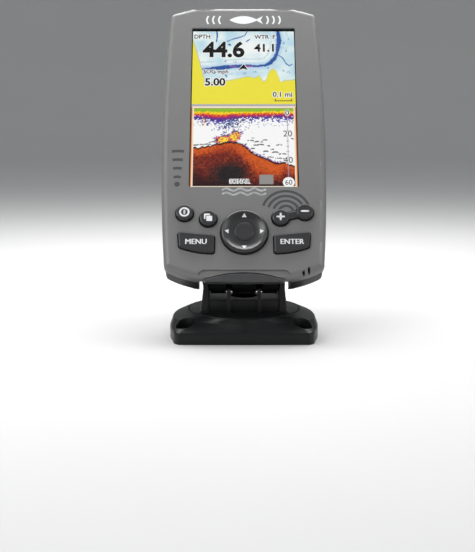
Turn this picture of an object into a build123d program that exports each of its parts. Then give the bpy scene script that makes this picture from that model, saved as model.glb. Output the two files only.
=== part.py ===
"""Portrait fish finder: a keypad display head that plugs onto a tilting, swivelling foot.

Millimetres and degrees. +Z is up, the display faces -Y, and the origin is on the swivel axis
at the underside of the foot. The head unit is drawn on the plane `face`: its X runs across the
front, its Y up the front from the bottom edge of the display, and its Z out of the front.
"""

import os
from math import atan2, cos, degrees, radians, sin

from build123d import *

# ------------------------------------------------------------------ placing the head unit
TILT_BACK = 33.0  # lean of the face from the vertical
PIVOT_Y = -3.8  # tilt axis, in the foot's frame
PIVOT_Z = 28.9
PIVOT_UP = -40.0  # tilt axis, on the face plane
PIVOT_IN = 19.0  # depth of the tilt axis behind the face

face_normal = Vector(0, -cos(radians(TILT_BACK)), sin(radians(TILT_BACK)))
face_up = Vector(0, sin(radians(TILT_BACK)), cos(radians(TILT_BACK)))
pivot = Vector(0, PIVOT_Y, PIVOT_Z)
face = Plane(
    origin=pivot - face_up * PIVOT_UP + face_normal * PIVOT_IN,
    x_dir=(1, 0, 0),
    z_dir=face_normal,
)

# ------------------------------------------------------------------ display and case
DISPLAY = (53.9, 95.0)  # visible area of a 4.3 inch panel
DISPLAY_MID = DISPLAY[1] / 2
GLASS = (58.6, 99.6)
PANEL = (64.0, 103.0)
TRAY = (65.8, 105.5)

TOP_SHOULDER = (26.2, 109.5)
TOP_CORNER = (39.0, 105.5)
SIDE_BULGE = (41.7, 32.0)
LOW_CORNER = (38.6, -43.6)
CHIN_MID = (30.6, -47.3)
CHIN_INNER = (20.6, -49.7)
CHIN_LOW = -50.4
CORNER_RADIUS = 3.0
HUMP_CORNERS = ((0, 86), (27, 86), (34.5, 20), (33.0, -45.5), (0, -45.5))
SCOOP = ((13.6, 110.0), (21.4, 106.4), (28.8, 110.0))  # cover grip in the top edge
SCOOP_DEPTH = 4.6
SOUNDER_SLOTS = ((28.4, -47.6, -45.4), (31.0, -46.8, -43.8))  # across, low and high ends
SOUNDER_WIDTH = 1.2

BEZEL_DEPTH = 5.6
BEZEL_FRONT = 2.0
BEZEL_ROUND = 3.4
WALL = 2.2
RIM_BACK = 18.0  # depth of the rear housing's rim behind the face
HUMP_BACK = 32.0
HUMP_TAPER = 12.0
STEP = 0.4  # the rear housing stands in from the bezel by this much

# ------------------------------------------------------------------ bracket pocket in the case
POCKET_HALF = 22.5
POCKET_TOP = -27.0
POCKET_FRONT = 7.5
NOTCH_TOP = -44.5
NOTCH_SKIN = 4.0
MOUTH_HALF, MOUTH_LOW, MOUTH_TOP = 21.5, -50.6, -46.2  # arch that the release button fills
RECESS = (44.4, 20.0, 3.4)  # width, height and corner radius of the dish round the mouth
RECESS_UP, RECESS_DEPTH = -55.2, 0.8
SHOE_HALF = 17.4
SHOE_TOP = 9.0
SHOE_FRONT = 11.5
LIP_HALF = 14.3
LIP_FRONT = 18.7
LINER = 1.5

# ------------------------------------------------------------------ keys
KEY_GAP = 0.45
KEY_BACK = 2.8
FLANGE_FRONT = 2.15
FLANGE_RIM = 0.9
ROCKING_FLANGE = (2.6, 3.1)  # front and back of the flange under a rocking key
POWER_KEY = (-29.1, -15.4)
PAGES_KEY = (-17.5, -18.4)
ROUND_KEY_RADIUS = 4.2
ZOOM_IN = (17.8, -17.9)
ZOOM_OUT = (29.7, -14.9)
ZOOM_MIDDLE = ((ZOOM_IN[0] + ZOOM_OUT[0]) / 2, (ZOOM_IN[1] + ZOOM_OUT[1]) / 2)
ZOOM_RADIUS = 4.15
ZOOM_WEB = 1.9
PAD_CENTRE = (0.1, -25.6)
PAD_RADIUS = 11.4
HUB_RADIUS = 4.8
ROUND_KEY_PROUD = 2.1
SOFT_KEY_PROUD = 1.5
ZOOM_PROUD, ZOOM_WEB_PROUD = 2.1, 0.9
PAD_RIM = (10.2, 2.7)  # radius and height of the arrow pad's crest
PAD_DISH = 1.1
HUB_PROUD = 2.0
SOFT_KEY = ((14.4, -27.3), (32.1, -25.4), (31.4, -33.6), (23.3, -36.0), (14.5, -36.8))

# ------------------------------------------------------------------ inside the case
LCD_FRONT, LCD_BACK = 2.8, 4.3
TRAY_BACK = 6.2
MAIN_BOARD_FRONT, MAIN_BOARD_BACK = 10.5, 12.1
KEY_BOARD_FRONT, KEY_BOARD_BACK = 4.1, 5.3
DOME_FRONT = 3.7
DOME_RADIUS = 2.6
CASE_SCREWS = ((36.0, 97.5), (37.2, 34.0), (35.4, -38.4))
SCREW_SEAT = 16.3
SCREW_BORE_END, SCREW_TIP = 2.0, 2.4
KEYPAD_SCREWS = ((35.3, -20.0), (11.0, -39.4))
BOARD_SCREWS = ((29.0, 16.0), (29.0, 97.0))
BUZZER = (28.6, -40.0)
SOCKET_UP = 52.0
SOCKET_ACROSS = 13.5
SOCKET_RADIUS = 8.5
SOCKET_BORE = 6.6
SOCKET_BASE, SOCKET_FLOOR, SOCKET_MOUTH = 19.5, 22.0, 33.2
VENT_UP = 76.0
DOOR_UP = 66.0
DOOR_LONG = 20.0
DOOR_FRONT, DOOR_BACK = 10.4, 16.4
DOOR_INNER = 38.3
DOOR_HINGE = (39.4, 11.35)  # across, and depth behind the face
DOOR_HALF_THICK = 0.9

# ------------------------------------------------------------------ foot, neck and head
FOOT_EDGE = 5.5
FOOT_LIP = 1.0
FOOT_CORNERS = ((0, -31.0), (15.5, -30.95), (31.0, -30.6), (33.0, -28.8), (34.0, -24.5), (36.2, -14.0),
                (36.5, -3.0), (34.0, 9.0), (28.4, 20.5), (17.8, 36.0), (0, 42.0))
# hollow in front, full at the sides
FOOT_CURL = (0.8, 0.8, 0.65, 0.55, 0.4, 0.22, 0.2, 0.2, 0.22, 0.25, 0.25)
FOOT_PLATEAU = 11.7
PLATEAU_RADIUS = 28.7
FOOT_SHOULDER = 9.5
DISC_RADIUS = 27.4
DISC_GAP = 0.4
SEAT_Z = 8.2
RING_TOP = 8.65
DISC_BOTTOM = 8.7
DISC_TOP = 12.0
SPIGOT_RADIUS = 5.0
SPIGOT_TOP = 12.05
RUNNING = 0.05
WASHER_RADIUS = 6.5
WASHER_TOP = 13.0
FRONT_SCREWS = (56.6, -22.8)  # spacing across, distance along Y
REAR_SCREWS = (22.0, 35.0)
SCREW_HOLE_RADIUS = 2.4
SCREW_POCKET_RADIUS = 4.6
SCREW_FLOOR = 3.2

CHEEK_INNER = 17.0
CHEEK_OUTER = 20.0
CHEEK_FOOT = 21.2  # the cheeks flare out to this at the disc
FLARE_TOP = 24.0
EAR_RADIUS = 9.5
NECK_FRONT, NECK_REAR = -14.0, 12.0
WEB_FRONT, WEB_REAR = -12.9, 9.0
RIB_THICK = 1.8
CHEEK_BEVEL = 0.5
WEB_TOP = 18.1
BARREL_RADIUS = 9.0
BARREL_HALF = 16.5
RING_MIDDLE, RING_INNER = 5.8, 9.0  # the grooves between them take the neck's ribs
PIN_RADIUS = 2.5
PIN_HEAD = (4.6, 18.8, 20.5)  # radius, inner and outer ends
RAIL_HALF = 17.1
RAIL_FRONT, RAIL_BACK = 11.9, 18.4
RAIL_LOW, RAIL_HIGH = -30.0, 6.0
SHOE_BLOCK_HALF = 14.0
SHOE_BLOCK_BACK = 29.5
BUTTON_FRONT, BUTTON_BACK = 0.3, 3.3
STEM_ACROSS, STEM_UP = 11.0, -48.8
STEM_RADIUS = 1.05
STEM_END = 7.2
STEM_BORE_END = 11.4

os.makedirs("parts", exist_ok=True)


def save(shape, name):
    """Label a finished piece and write it as its own STEP file."""
    shape.label = name
    export_step(shape, f"parts/{name}.step")


# ================================================================== profiles on the face plane
def case_outline(inset=0.0):
    """Barrel-sided outline of the head unit, drawn in by inset."""
    with BuildSketch() as outline:
        with BuildLine():
            Line((0, TOP_SHOULDER[1]), TOP_SHOULDER)
            Line(TOP_SHOULDER, TOP_CORNER)
            ThreePointArc(TOP_CORNER, SIDE_BULGE, LOW_CORNER)
            ThreePointArc(LOW_CORNER, CHIN_MID, CHIN_INNER)
            ThreePointArc(CHIN_INNER, (CHIN_INNER[0] / 2, CHIN_LOW + 0.2), (0, CHIN_LOW))
            mirror(about=Plane.YZ)
        make_face()
        fillet(outline.vertices().group_by(Axis.Y)[-1], CORNER_RADIUS)
        corners = [v for v in outline.vertices() if abs(v.X) > TOP_CORNER[0] - 1]
        fillet(corners, CORNER_RADIUS)
        if inset:
            offset(amount=-inset, kind=Kind.INTERSECTION, mode=Mode.REPLACE)
    return outline.sketch


def hump_outline(inset=0.0):
    """Tapered outline of the raised middle of the rear housing."""
    with BuildSketch() as outline:
        with BuildLine():
            Polyline(*HUMP_CORNERS)
            mirror(about=Plane.YZ)
        make_face()
        fillet(outline.vertices(), 10)
        if inset:
            offset(amount=-inset, mode=Mode.REPLACE)
    return outline.sketch


def notch_outline():
    """Arched mouth in the bezel's lower edge that the release button fills."""
    with BuildSketch() as outline:
        with BuildLine():
            ThreePointArc((-MOUTH_HALF, MOUTH_LOW), (0, MOUTH_TOP), (MOUTH_HALF, MOUTH_LOW))
            Polyline((MOUTH_HALF, MOUTH_LOW), (MOUTH_HALF, MOUTH_LOW - 6), (-MOUTH_HALF, MOUTH_LOW - 6),
                     (-MOUTH_HALF, MOUTH_LOW))
        make_face()
    return outline.sketch


def soft_key_outline(side, grow=0.0):
    """Menu key (side -1) or enter key (side +1): a wedge with a swept lower edge."""
    with BuildSketch() as outline:
        with BuildLine():
            Line(SOFT_KEY[0], SOFT_KEY[1])
            Line(SOFT_KEY[1], SOFT_KEY[2])
            ThreePointArc(SOFT_KEY[2], SOFT_KEY[3], SOFT_KEY[4])
            Line(SOFT_KEY[4], SOFT_KEY[0])
        make_face()
        fillet(outline.vertices(), 1.2)
        if side < 0:
            mirror(about=Plane.YZ, mode=Mode.REPLACE)
        if grow:
            offset(amount=grow, mode=Mode.REPLACE)
    return outline.sketch


def zoom_outline(grow=0.0):
    """Two round pads joined by a waisted web, as one rocker."""
    span = ZOOM_OUT[0] - ZOOM_IN[0]
    rise = ZOOM_OUT[1] - ZOOM_IN[1]
    with BuildSketch() as outline:
        with Locations(ZOOM_IN, ZOOM_OUT):
            Circle(ZOOM_RADIUS + grow)
        with Locations(ZOOM_MIDDLE):
            Rectangle(span, 2 * (ZOOM_WEB + grow), rotation=degrees(atan2(rise, span)))
    return outline.sketch


def round_key_outlines(grow=0.0):
    """The power key, the pages key and the arrow pad."""
    with BuildSketch() as outline:
        with Locations(POWER_KEY, PAGES_KEY):
            Circle(ROUND_KEY_RADIUS + grow)
        with Locations(PAD_CENTRE):
            Circle(PAD_RADIUS + grow)
    return outline.sketch


def all_key_outlines(grow):
    """Every key's outline together, for the holes round them."""
    with BuildSketch() as outline:
        add(round_key_outlines(grow))
        add(zoom_outline(grow))
        add(soft_key_outline(-1, grow))
        add(soft_key_outline(1, grow))
    return outline.sketch


def both_sides(points):
    """The points and their mirror images across the middle."""
    return [(side * x, y) for x, y in points for side in (-1, 1)]


def foot_outline(shares):
    """Outline of the foot, each corner moved by its share of the way to the plateau's circle."""
    points = []
    for (x, y), share in zip(FOOT_CORNERS, shares):
        out = Vector(x, y)
        points.append(out * (1 - share) + out.normalized() * PLATEAU_RADIUS * share)
    with BuildSketch() as outline:
        with BuildLine():
            for start in range(0, len(points) - 1, 2):
                ThreePointArc(*points[start:start + 3])
            mirror(about=Plane.YZ)
        make_face()
    return outline.sketch


def foot_screws():
    """Where the four screws go through the foot."""
    return both_sides([(FRONT_SCREWS[0] / 2, FRONT_SCREWS[1]), (REAR_SCREWS[0] / 2, REAR_SCREWS[1])])


across = Plane(origin=pivot, x_dir=face_up, z_dir=(1, 0, 0))  # X up the face, Y out of it
upright = Plane(origin=pivot, x_dir=(0, 1, 0), z_dir=(1, 0, 0))  # X to the rear, Y up
back_axis = Axis((0, 0, 0), face_normal)

# ================================================================== front bezel
with BuildPart() as front_bezel:
    with BuildSketch(face):
        add(case_outline())
    extrude(amount=-BEZEL_DEPTH)
    fillet(front_bezel.faces().sort_by(back_axis)[-1].edges(), BEZEL_ROUND)
    # hollow behind the front skin, leaving a solid block for the bracket's notch
    with BuildSketch(face.offset(-BEZEL_FRONT)):
        add(case_outline(WALL))
        with Locations((0, NOTCH_TOP - 20 + WALL)):
            Rectangle(2 * (POCKET_HALF + WALL), 40, mode=Mode.SUBTRACT)
    extrude(amount=-BEZEL_DEPTH, mode=Mode.SUBTRACT)
    # posts for the case screws and the keypad board
    with BuildSketch(face.offset(-BEZEL_FRONT)):
        with Locations(both_sides(CASE_SCREWS)):
            Circle(2.5)
    extrude(amount=BEZEL_FRONT - BEZEL_DEPTH)
    with BuildSketch(face.offset(-BEZEL_FRONT)):
        with Locations(both_sides(KEYPAD_SCREWS)):
            Circle(1.5)
    extrude(amount=BEZEL_FRONT - KEY_BOARD_FRONT)
    with BuildSketch(face.offset(-BEZEL_DEPTH)):
        with Locations(both_sides(CASE_SCREWS)):
            Circle(1.1)
    extrude(amount=BEZEL_DEPTH - SCREW_BORE_END, mode=Mode.SUBTRACT)
    # arched mouth, and the square notch behind it
    with BuildSketch(face.offset(5)):
        add(notch_outline())
    extrude(amount=-20, mode=Mode.SUBTRACT)
    with BuildSketch(face.offset(-NOTCH_SKIN)):
        with Locations((0, NOTCH_TOP - 20)):
            Rectangle(2 * POCKET_HALF, 40)
    extrude(amount=-BEZEL_DEPTH, mode=Mode.SUBTRACT)
    # shallow recess round the mouth
    with BuildSketch(face):
        with Locations((0, RECESS_UP)):
            RectangleRounded(*RECESS)
    extrude(amount=-RECESS_DEPTH, mode=Mode.SUBTRACT)
    # display opening and the rebate for its glass
    with BuildSketch(face):
        with Locations((0, DISPLAY_MID)):
            RectangleRounded(DISPLAY[0] + 0.9, DISPLAY[1] + 0.9, 0.8)
    extrude(amount=-BEZEL_DEPTH, mode=Mode.SUBTRACT)
    with BuildSketch(face.offset(-1.0)):
        with Locations((0, DISPLAY_MID)):
            RectangleRounded(GLASS[0] + 0.3, GLASS[1] + 0.3, 1.5)
    extrude(amount=-BEZEL_DEPTH, mode=Mode.SUBTRACT)
    # key holes
    with BuildSketch(face.offset(1)):
        add(all_key_outlines(KEY_GAP))
    extrude(amount=-4, mode=Mode.SUBTRACT)
    # cover grips: two scoops in the top edge
    with BuildSketch(face.offset(2)):
        for side in (-1, 1):
            with BuildLine():
                ThreePointArc(*[(side * x, y) for x, y in SCOOP])
                Line(*[(side * x, y) for x, y in SCOOP[::2]])
            make_face()
    extrude(amount=-SCOOP_DEPTH, mode=Mode.SUBTRACT)
    # sounder slots at the lower right
    with BuildSketch(face.offset(1)):
        for slot_x, slot_low, slot_high in SOUNDER_SLOTS:
            with Locations((slot_x, (slot_low + slot_high) / 2)):
                SlotOverall(slot_high - slot_low, SOUNDER_WIDTH, rotation=90)
    extrude(amount=-4, mode=Mode.SUBTRACT)
    # groove for the case gasket
    with BuildSketch(face.offset(-BEZEL_DEPTH)):
        add(case_outline(0.95))
        add(case_outline(1.45), mode=Mode.SUBTRACT)
        with Locations((0, NOTCH_TOP - 10)):
            Rectangle(2 * (POCKET_HALF + WALL + 0.6), 24, mode=Mode.SUBTRACT)
    extrude(amount=0.5, mode=Mode.SUBTRACT)
save(front_bezel.part, "front_bezel")

with BuildPart() as case_gasket:
    with BuildSketch(face.offset(-BEZEL_DEPTH)):
        add(case_outline(1.0))
        add(case_outline(1.4), mode=Mode.SUBTRACT)
        with Locations((0, NOTCH_TOP - 10)):
            Rectangle(2 * (POCKET_HALF + WALL + 0.6), 24, mode=Mode.SUBTRACT)
    extrude(amount=0.5)
save(case_gasket.part, "case_gasket")

# ================================================================== rear housing
with BuildPart() as rear_cavity:
    with BuildSketch(face.offset(-BEZEL_DEPTH)):
        add(case_outline(STEP + WALL))
    extrude(amount=-(RIM_BACK - BEZEL_DEPTH - WALL))
    with BuildSketch(face.offset(WALL - RIM_BACK)):
        add(hump_outline(WALL))
    extrude(amount=RIM_BACK - HUMP_BACK, taper=HUMP_TAPER)
    # keep the liner of the bracket pocket and of the shoe channel
    with BuildSketch(face):
        with Locations((0, POCKET_TOP + LINER - 20)):
            Rectangle(2 * (POCKET_HALF + LINER), 40)
    extrude(amount=-40, mode=Mode.SUBTRACT)
    with BuildSketch(face.offset(LINER - SHOE_FRONT)):
        with Locations((0, SHOE_TOP + LINER - 25)):
            Rectangle(2 * (SHOE_HALF + LINER), 50)
    extrude(amount=-40, mode=Mode.SUBTRACT)

with BuildPart() as rear_housing:
    with BuildSketch(face.offset(-BEZEL_DEPTH)):
        add(case_outline(STEP))
    extrude(amount=BEZEL_DEPTH - RIM_BACK)
    fillet(rear_housing.faces().sort_by(back_axis)[0].edges(), 3.5)
    with BuildSketch(face.offset(-RIM_BACK)):
        add(hump_outline())
    extrude(amount=RIM_BACK - HUMP_BACK, taper=HUMP_TAPER)
    fillet(rear_housing.faces().sort_by(back_axis)[0].edges(), 2.5)
    add(rear_cavity.part, mode=Mode.SUBTRACT)
    # front wall of the liner, which meets the bezel
    with BuildSketch(face.offset(-BEZEL_DEPTH)):
        with Locations((0, (NOTCH_TOP + POCKET_TOP + LINER) / 2)):
            Rectangle(2 * (POCKET_HALF + LINER), POCKET_TOP + LINER - NOTCH_TOP)
    extrude(amount=BEZEL_DEPTH - 10)
    # posts for the case screws and the main board, and the wall behind the card door
    with BuildSketch(face.offset(-BEZEL_DEPTH)):
        with Locations(both_sides(CASE_SCREWS)):
            Circle(3.0)
    extrude(amount=BEZEL_DEPTH - RIM_BACK + 0.6)
    with BuildSketch(face.offset(-MAIN_BOARD_BACK)):
        with Locations(both_sides(BOARD_SCREWS[1:])):
            Circle(2.2)
    extrude(amount=MAIN_BOARD_BACK - RIM_BACK + 1)
    with BuildSketch(face.offset(-MAIN_BOARD_BACK)):
        with Locations(both_sides(BOARD_SCREWS[:1])):
            Circle(2.2)
    extrude(amount=MAIN_BOARD_BACK - HUMP_BACK + 1)
    with BuildSketch(face.offset(1 - DOOR_FRONT)):
        with Locations((DOOR_INNER - 0.6, DOOR_UP)):
            Rectangle(3.2, DOOR_LONG + 4)
    extrude(amount=DOOR_FRONT - DOOR_BACK - 1.6)
    # square notch in line with the bezel's, then the neck's pocket, open below and behind
    with BuildSketch(face.offset(-BEZEL_DEPTH)):
        with Locations((0, NOTCH_TOP - 20)):
            Rectangle(2 * POCKET_HALF, 40)
    extrude(amount=BEZEL_DEPTH - POCKET_FRONT, mode=Mode.SUBTRACT)
    with BuildSketch(face.offset(-POCKET_FRONT)):
        with Locations((0, POCKET_TOP - 20)):
            Rectangle(2 * POCKET_HALF, 40)
    extrude(amount=-40, mode=Mode.SUBTRACT)
    # channel for the rail, and the narrower way between the lips that hold it
    with BuildSketch(face.offset(-SHOE_FRONT)):
        with Locations((0, SHOE_TOP - 25)):
            Rectangle(2 * SHOE_HALF, 50)
    extrude(amount=SHOE_FRONT - LIP_FRONT, mode=Mode.SUBTRACT)
    with BuildSketch(face.offset(-LIP_FRONT)):
        with Locations((0, SHOE_TOP - 25)):
            Rectangle(2 * LIP_HALF, 50)
    extrude(amount=-20, mode=Mode.SUBTRACT)
    # card door recess, the card slot behind it, and the hinge pin holes at its ends
    with BuildSketch(face.offset(-DOOR_FRONT)):
        with Locations((DOOR_INNER + 5, DOOR_UP)):
            Rectangle(10, DOOR_LONG)
    extrude(amount=DOOR_FRONT - DOOR_BACK, mode=Mode.SUBTRACT)
    with BuildSketch(face.offset(-12.7)):
        with Locations((DOOR_INNER, DOOR_UP)):
            Rectangle(12, 12.5)
    extrude(amount=-1.4, mode=Mode.SUBTRACT)
    # openings for the two cable sockets and the vent
    with BuildSketch(face.offset(-SOCKET_BASE)):
        with Locations(both_sides([(SOCKET_ACROSS, SOCKET_UP)])):
            Circle(SOCKET_RADIUS + 0.05)
    extrude(amount=-20, mode=Mode.SUBTRACT)
    with BuildSketch(face.offset(-RIM_BACK)):
        with Locations((0, VENT_UP)):
            Circle(3.0)
    extrude(amount=-20, mode=Mode.SUBTRACT)
    # case screw holes, counterbored from behind, and board screw holes
    with BuildSketch(face.offset(-BEZEL_DEPTH)):
        with Locations(both_sides(CASE_SCREWS)):
            Circle(1.4)
    extrude(amount=-20, mode=Mode.SUBTRACT)
    with BuildSketch(face.offset(-SCREW_SEAT)):
        with Locations(both_sides(CASE_SCREWS)):
            Circle(2.5)
    extrude(amount=-20, mode=Mode.SUBTRACT)
    with BuildSketch(face.offset(-MAIN_BOARD_BACK)):
        with Locations(both_sides(BOARD_SCREWS)):
            Circle(0.9)
    extrude(amount=-3.4, mode=Mode.SUBTRACT)

hinge_centre = face.from_local_coords((DOOR_HINGE[0], DOOR_UP, -DOOR_HINGE[1]))
hinge_plane = Plane(origin=hinge_centre, x_dir=(1, 0, 0), z_dir=face_up)
with BuildPart() as hinge_holes:
    with BuildSketch(hinge_plane.offset(-DOOR_LONG / 2 - 1.0)):
        Circle(0.5)
    extrude(amount=DOOR_LONG + 2.0)
with BuildPart() as rear_housing_drilled:
    add(rear_housing.part)
    add(hinge_holes.part, mode=Mode.SUBTRACT)
save(rear_housing_drilled.part, "rear_housing")

with BuildPart() as card_door:
    with BuildSketch(hinge_plane.offset(-DOOR_LONG / 2 + 0.25)):
        Circle(DOOR_HALF_THICK)
        with Locations((0, (DOOR_BACK - 0.2 - DOOR_HINGE[1]) / 2)):
            Rectangle(2 * DOOR_HALF_THICK, DOOR_BACK - 0.2 - DOOR_HINGE[1])
    extrude(amount=DOOR_LONG - 0.5)
    with BuildSketch(hinge_plane.offset(-DOOR_LONG / 2 - 0.8)):
        Circle(0.45)
    extrude(amount=DOOR_LONG + 1.6)
save(card_door.part, "card_door")

# ================================================================== display
with BuildPart() as window_gasket:
    with BuildSketch(face.offset(-1.0)):
        with Locations((0, DISPLAY_MID)):
            RectangleRounded(*GLASS, 1.2)
            RectangleRounded(DISPLAY[0] + 1.6, DISPLAY[1] + 1.6, 0.8, mode=Mode.SUBTRACT)
    extrude(amount=-0.3)
save(window_gasket.part, "window_gasket")

with BuildPart() as display_window:
    with BuildSketch(face.offset(-1.3)):
        with Locations((0, DISPLAY_MID)):
            RectangleRounded(*GLASS, 1.2)
    extrude(amount=-1.2)
save(display_window.part, "display_window")

with BuildPart() as lcd_panel:
    with BuildSketch(face.offset(-LCD_FRONT)):
        with Locations((0, DISPLAY_MID)):
            Rectangle(*PANEL)
    extrude(amount=LCD_FRONT - LCD_BACK)
save(lcd_panel.part, "lcd_panel")

with BuildPart() as backlight_frame:
    with BuildSketch(face.offset(-LCD_BACK)):
        with Locations((0, DISPLAY_MID)):
            RectangleRounded(*TRAY, 1.5)
    extrude(amount=LCD_BACK - TRAY_BACK)
    with BuildSketch(face.offset(-LCD_FRONT - 0.2)):
        with Locations((0, DISPLAY_MID)):
            RectangleRounded(*TRAY, 1.5)
            Rectangle(PANEL[0] + 0.4, PANEL[1] + 0.4, mode=Mode.SUBTRACT)
    extrude(amount=LCD_FRONT + 0.2 - LCD_BACK)
save(backlight_frame.part, "backlight_frame")

# ================================================================== electronics
with BuildPart() as main_board:
    with BuildSketch(face.offset(-MAIN_BOARD_FRONT)):
        with Locations((0, 56.5)):
            RectangleRounded(65.0, 89.0, 2.0)
        with Locations(both_sides(BOARD_SCREWS)):
            Circle(1.1, mode=Mode.SUBTRACT)
    extrude(amount=MAIN_BOARD_FRONT - MAIN_BOARD_BACK)
save(main_board.part, "main_board")

with BuildPart() as processor_shield:
    with BuildSketch(face.offset(-MAIN_BOARD_BACK)):
        with Locations((13.0, 27.0)):
            Rectangle(24.0, 24.0)
    extrude(amount=-3.0)
    chamfer(processor_shield.faces().sort_by(back_axis)[0].edges(), 0.4)
save(processor_shield.part, "processor_shield")

with BuildPart() as sonar_transformer:
    with BuildSketch(face.offset(-MAIN_BOARD_BACK)):
        with Locations((-14.0, 25.5)):
            RectangleRounded(18.0, 18.0, 2.0)
    extrude(amount=-10.0)
save(sonar_transformer.part, "sonar_transformer")

with BuildPart() as capacitors:
    with BuildSketch(face.offset(-MAIN_BOARD_BACK)):
        with Locations((-5.5, 70.0), (5.5, 70.0)):
            Circle(4.0)
    extrude(amount=-9.0)
save(capacitors.part, "capacitors")

with BuildPart() as gps_antenna:
    with BuildSketch(face.offset(-MAIN_BOARD_BACK)):
        with Locations((0, 89.0)):
            Rectangle(18.0, 18.0)
    extrude(amount=-3.2)
save(gps_antenna.part, "gps_antenna")

with BuildPart() as card_socket:
    with BuildSketch(face.offset(-MAIN_BOARD_BACK)):
        with Locations((28.4, DOOR_UP)):
            Rectangle(14.0, 14.6)
    extrude(amount=-2.4)
    with BuildSketch(face.offset(-12.7)):
        with Locations((29.4, DOOR_UP)):
            Rectangle(14.0, 12.0)
    extrude(amount=-1.2, mode=Mode.SUBTRACT)
save(card_socket.part, "card_socket")

with BuildPart() as display_ribbon:
    with BuildSketch(across) as ribbon_side:
        with BuildLine() as ribbon_path:
            Polyline(
                (8 - PIVOT_UP, PIVOT_IN - TRAY_BACK - 0.2),
                (11 - PIVOT_UP, PIVOT_IN - TRAY_BACK - 1.4),
                (16 - PIVOT_UP, PIVOT_IN - MAIN_BOARD_FRONT + 0.2),
                (20 - PIVOT_UP, PIVOT_IN - MAIN_BOARD_FRONT + 0.2),
            )
            offset(amount=0.15)
        make_face()
    extrude(amount=8.0, both=True)
save(display_ribbon.part, "display_ribbon")

with BuildPart() as keypad_ribbon:
    with BuildSketch(across.offset(19.0)):
        with BuildLine():
            Polyline(
                (-15 - PIVOT_UP, PIVOT_IN - KEY_BOARD_BACK - 0.2),
                (-10 - PIVOT_UP, PIVOT_IN - KEY_BOARD_BACK - 0.2),
                (-6 - PIVOT_UP, PIVOT_IN - 7.4),
                (8 - PIVOT_UP, PIVOT_IN - 8.4),
                (13 - PIVOT_UP, PIVOT_IN - MAIN_BOARD_FRONT + 0.2),
                (17 - PIVOT_UP, PIVOT_IN - MAIN_BOARD_FRONT + 0.2),
            )
            offset(amount=0.15)
        make_face()
    extrude(amount=4.0, both=True)
save(keypad_ribbon.part, "keypad_ribbon")

with BuildPart() as board_screws:
    with BuildSketch(face.offset(-MAIN_BOARD_FRONT)):
        with Locations(both_sides(BOARD_SCREWS)):
            Circle(1.9)
    extrude(amount=1.1)
    with BuildSketch(face.offset(-MAIN_BOARD_FRONT)):
        with Locations(both_sides(BOARD_SCREWS)):
            Circle(0.85)
    extrude(amount=-4.6)
save(board_screws.part, "board_screws")

with BuildPart() as case_screws:
    with BuildSketch(face.offset(-SCREW_SEAT)):
        with Locations(both_sides(CASE_SCREWS)):
            Circle(2.2)
    extrude(amount=-1.3)
    with BuildSketch(face.offset(-SCREW_SEAT)):
        with Locations(both_sides(CASE_SCREWS)):
            Circle(1.0)
    extrude(amount=SCREW_SEAT - SCREW_TIP)
    with BuildSketch(face.offset(-SCREW_SEAT - 1.3)):
        with Locations(both_sides(CASE_SCREWS)):
            Rectangle(3.0, 0.5)
            Rectangle(0.5, 3.0)
    extrude(amount=0.8, mode=Mode.SUBTRACT)
save(case_screws.part, "case_screws")

# ================================================================== keypad
with BuildPart() as keypad_board:
    with BuildSketch(face.offset(-KEY_BOARD_FRONT)):
        with Locations((0, -25.2)):
            RectangleRounded(73.2, 32.6, 2.0)
        with Locations(both_sides(CASE_SCREWS[2:])):
            Circle(2.7, mode=Mode.SUBTRACT)
        with Locations(both_sides(KEYPAD_SCREWS)):
            Circle(0.9, mode=Mode.SUBTRACT)
    extrude(amount=KEY_BOARD_FRONT - KEY_BOARD_BACK)
save(keypad_board.part, "keypad_board")

with BuildPart() as keypad_screws:
    with BuildSketch(face.offset(-KEY_BOARD_BACK)):
        with Locations(both_sides(KEYPAD_SCREWS[:1])):
            Circle(1.5)
    extrude(amount=-0.6)
    with BuildSketch(face.offset(-KEY_BOARD_BACK)):
        with Locations(both_sides(KEYPAD_SCREWS[:1])):
            Circle(0.8)
    extrude(amount=KEY_BOARD_BACK - KEY_BOARD_FRONT)
save(keypad_screws.part, "keypad_screws")

with BuildPart() as keypad_mat:
    with BuildSketch(face.offset(-BEZEL_FRONT - 0.1)):
        with Locations((0, -25.2)):
            RectangleRounded(72.0, 32.0, 3.0)
        with Locations(both_sides(CASE_SCREWS[2:])):
            Circle(2.7, mode=Mode.SUBTRACT)
        with Locations(both_sides(KEYPAD_SCREWS)):
            Circle(1.9, mode=Mode.SUBTRACT)
        add(all_key_outlines(FLANGE_RIM + 0.3), mode=Mode.SUBTRACT)
    extrude(amount=-1.0)
save(keypad_mat.part, "keypad_mat")

PAD_ARROWS = [(PAD_CENTRE[0] + 8.6 * cos(radians(a)), PAD_CENTRE[1] + 8.6 * sin(radians(a)))
              for a in range(0, 360, 90)]
SOFT_KEY_MIDDLE = (23.2, -31.2)
with BuildPart() as key_domes:
    with BuildSketch(face.offset(-KEY_BOARD_FRONT)):
        with Locations(POWER_KEY, PAGES_KEY, ZOOM_IN, ZOOM_OUT, *both_sides([SOFT_KEY_MIDDLE])):
            Circle(DOME_RADIUS)
        with Locations(*PAD_ARROWS):
            Circle(DOME_RADIUS)
    extrude(amount=KEY_BOARD_FRONT - DOME_FRONT, taper=40)
save(key_domes.part, "key_domes")

with BuildPart() as buzzer:
    with BuildSketch(face.offset(-KEY_BOARD_BACK)):
        with Locations(BUZZER):
            Circle(3.6)
    extrude(amount=-3.6)
save(buzzer.part, "buzzer")

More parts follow.
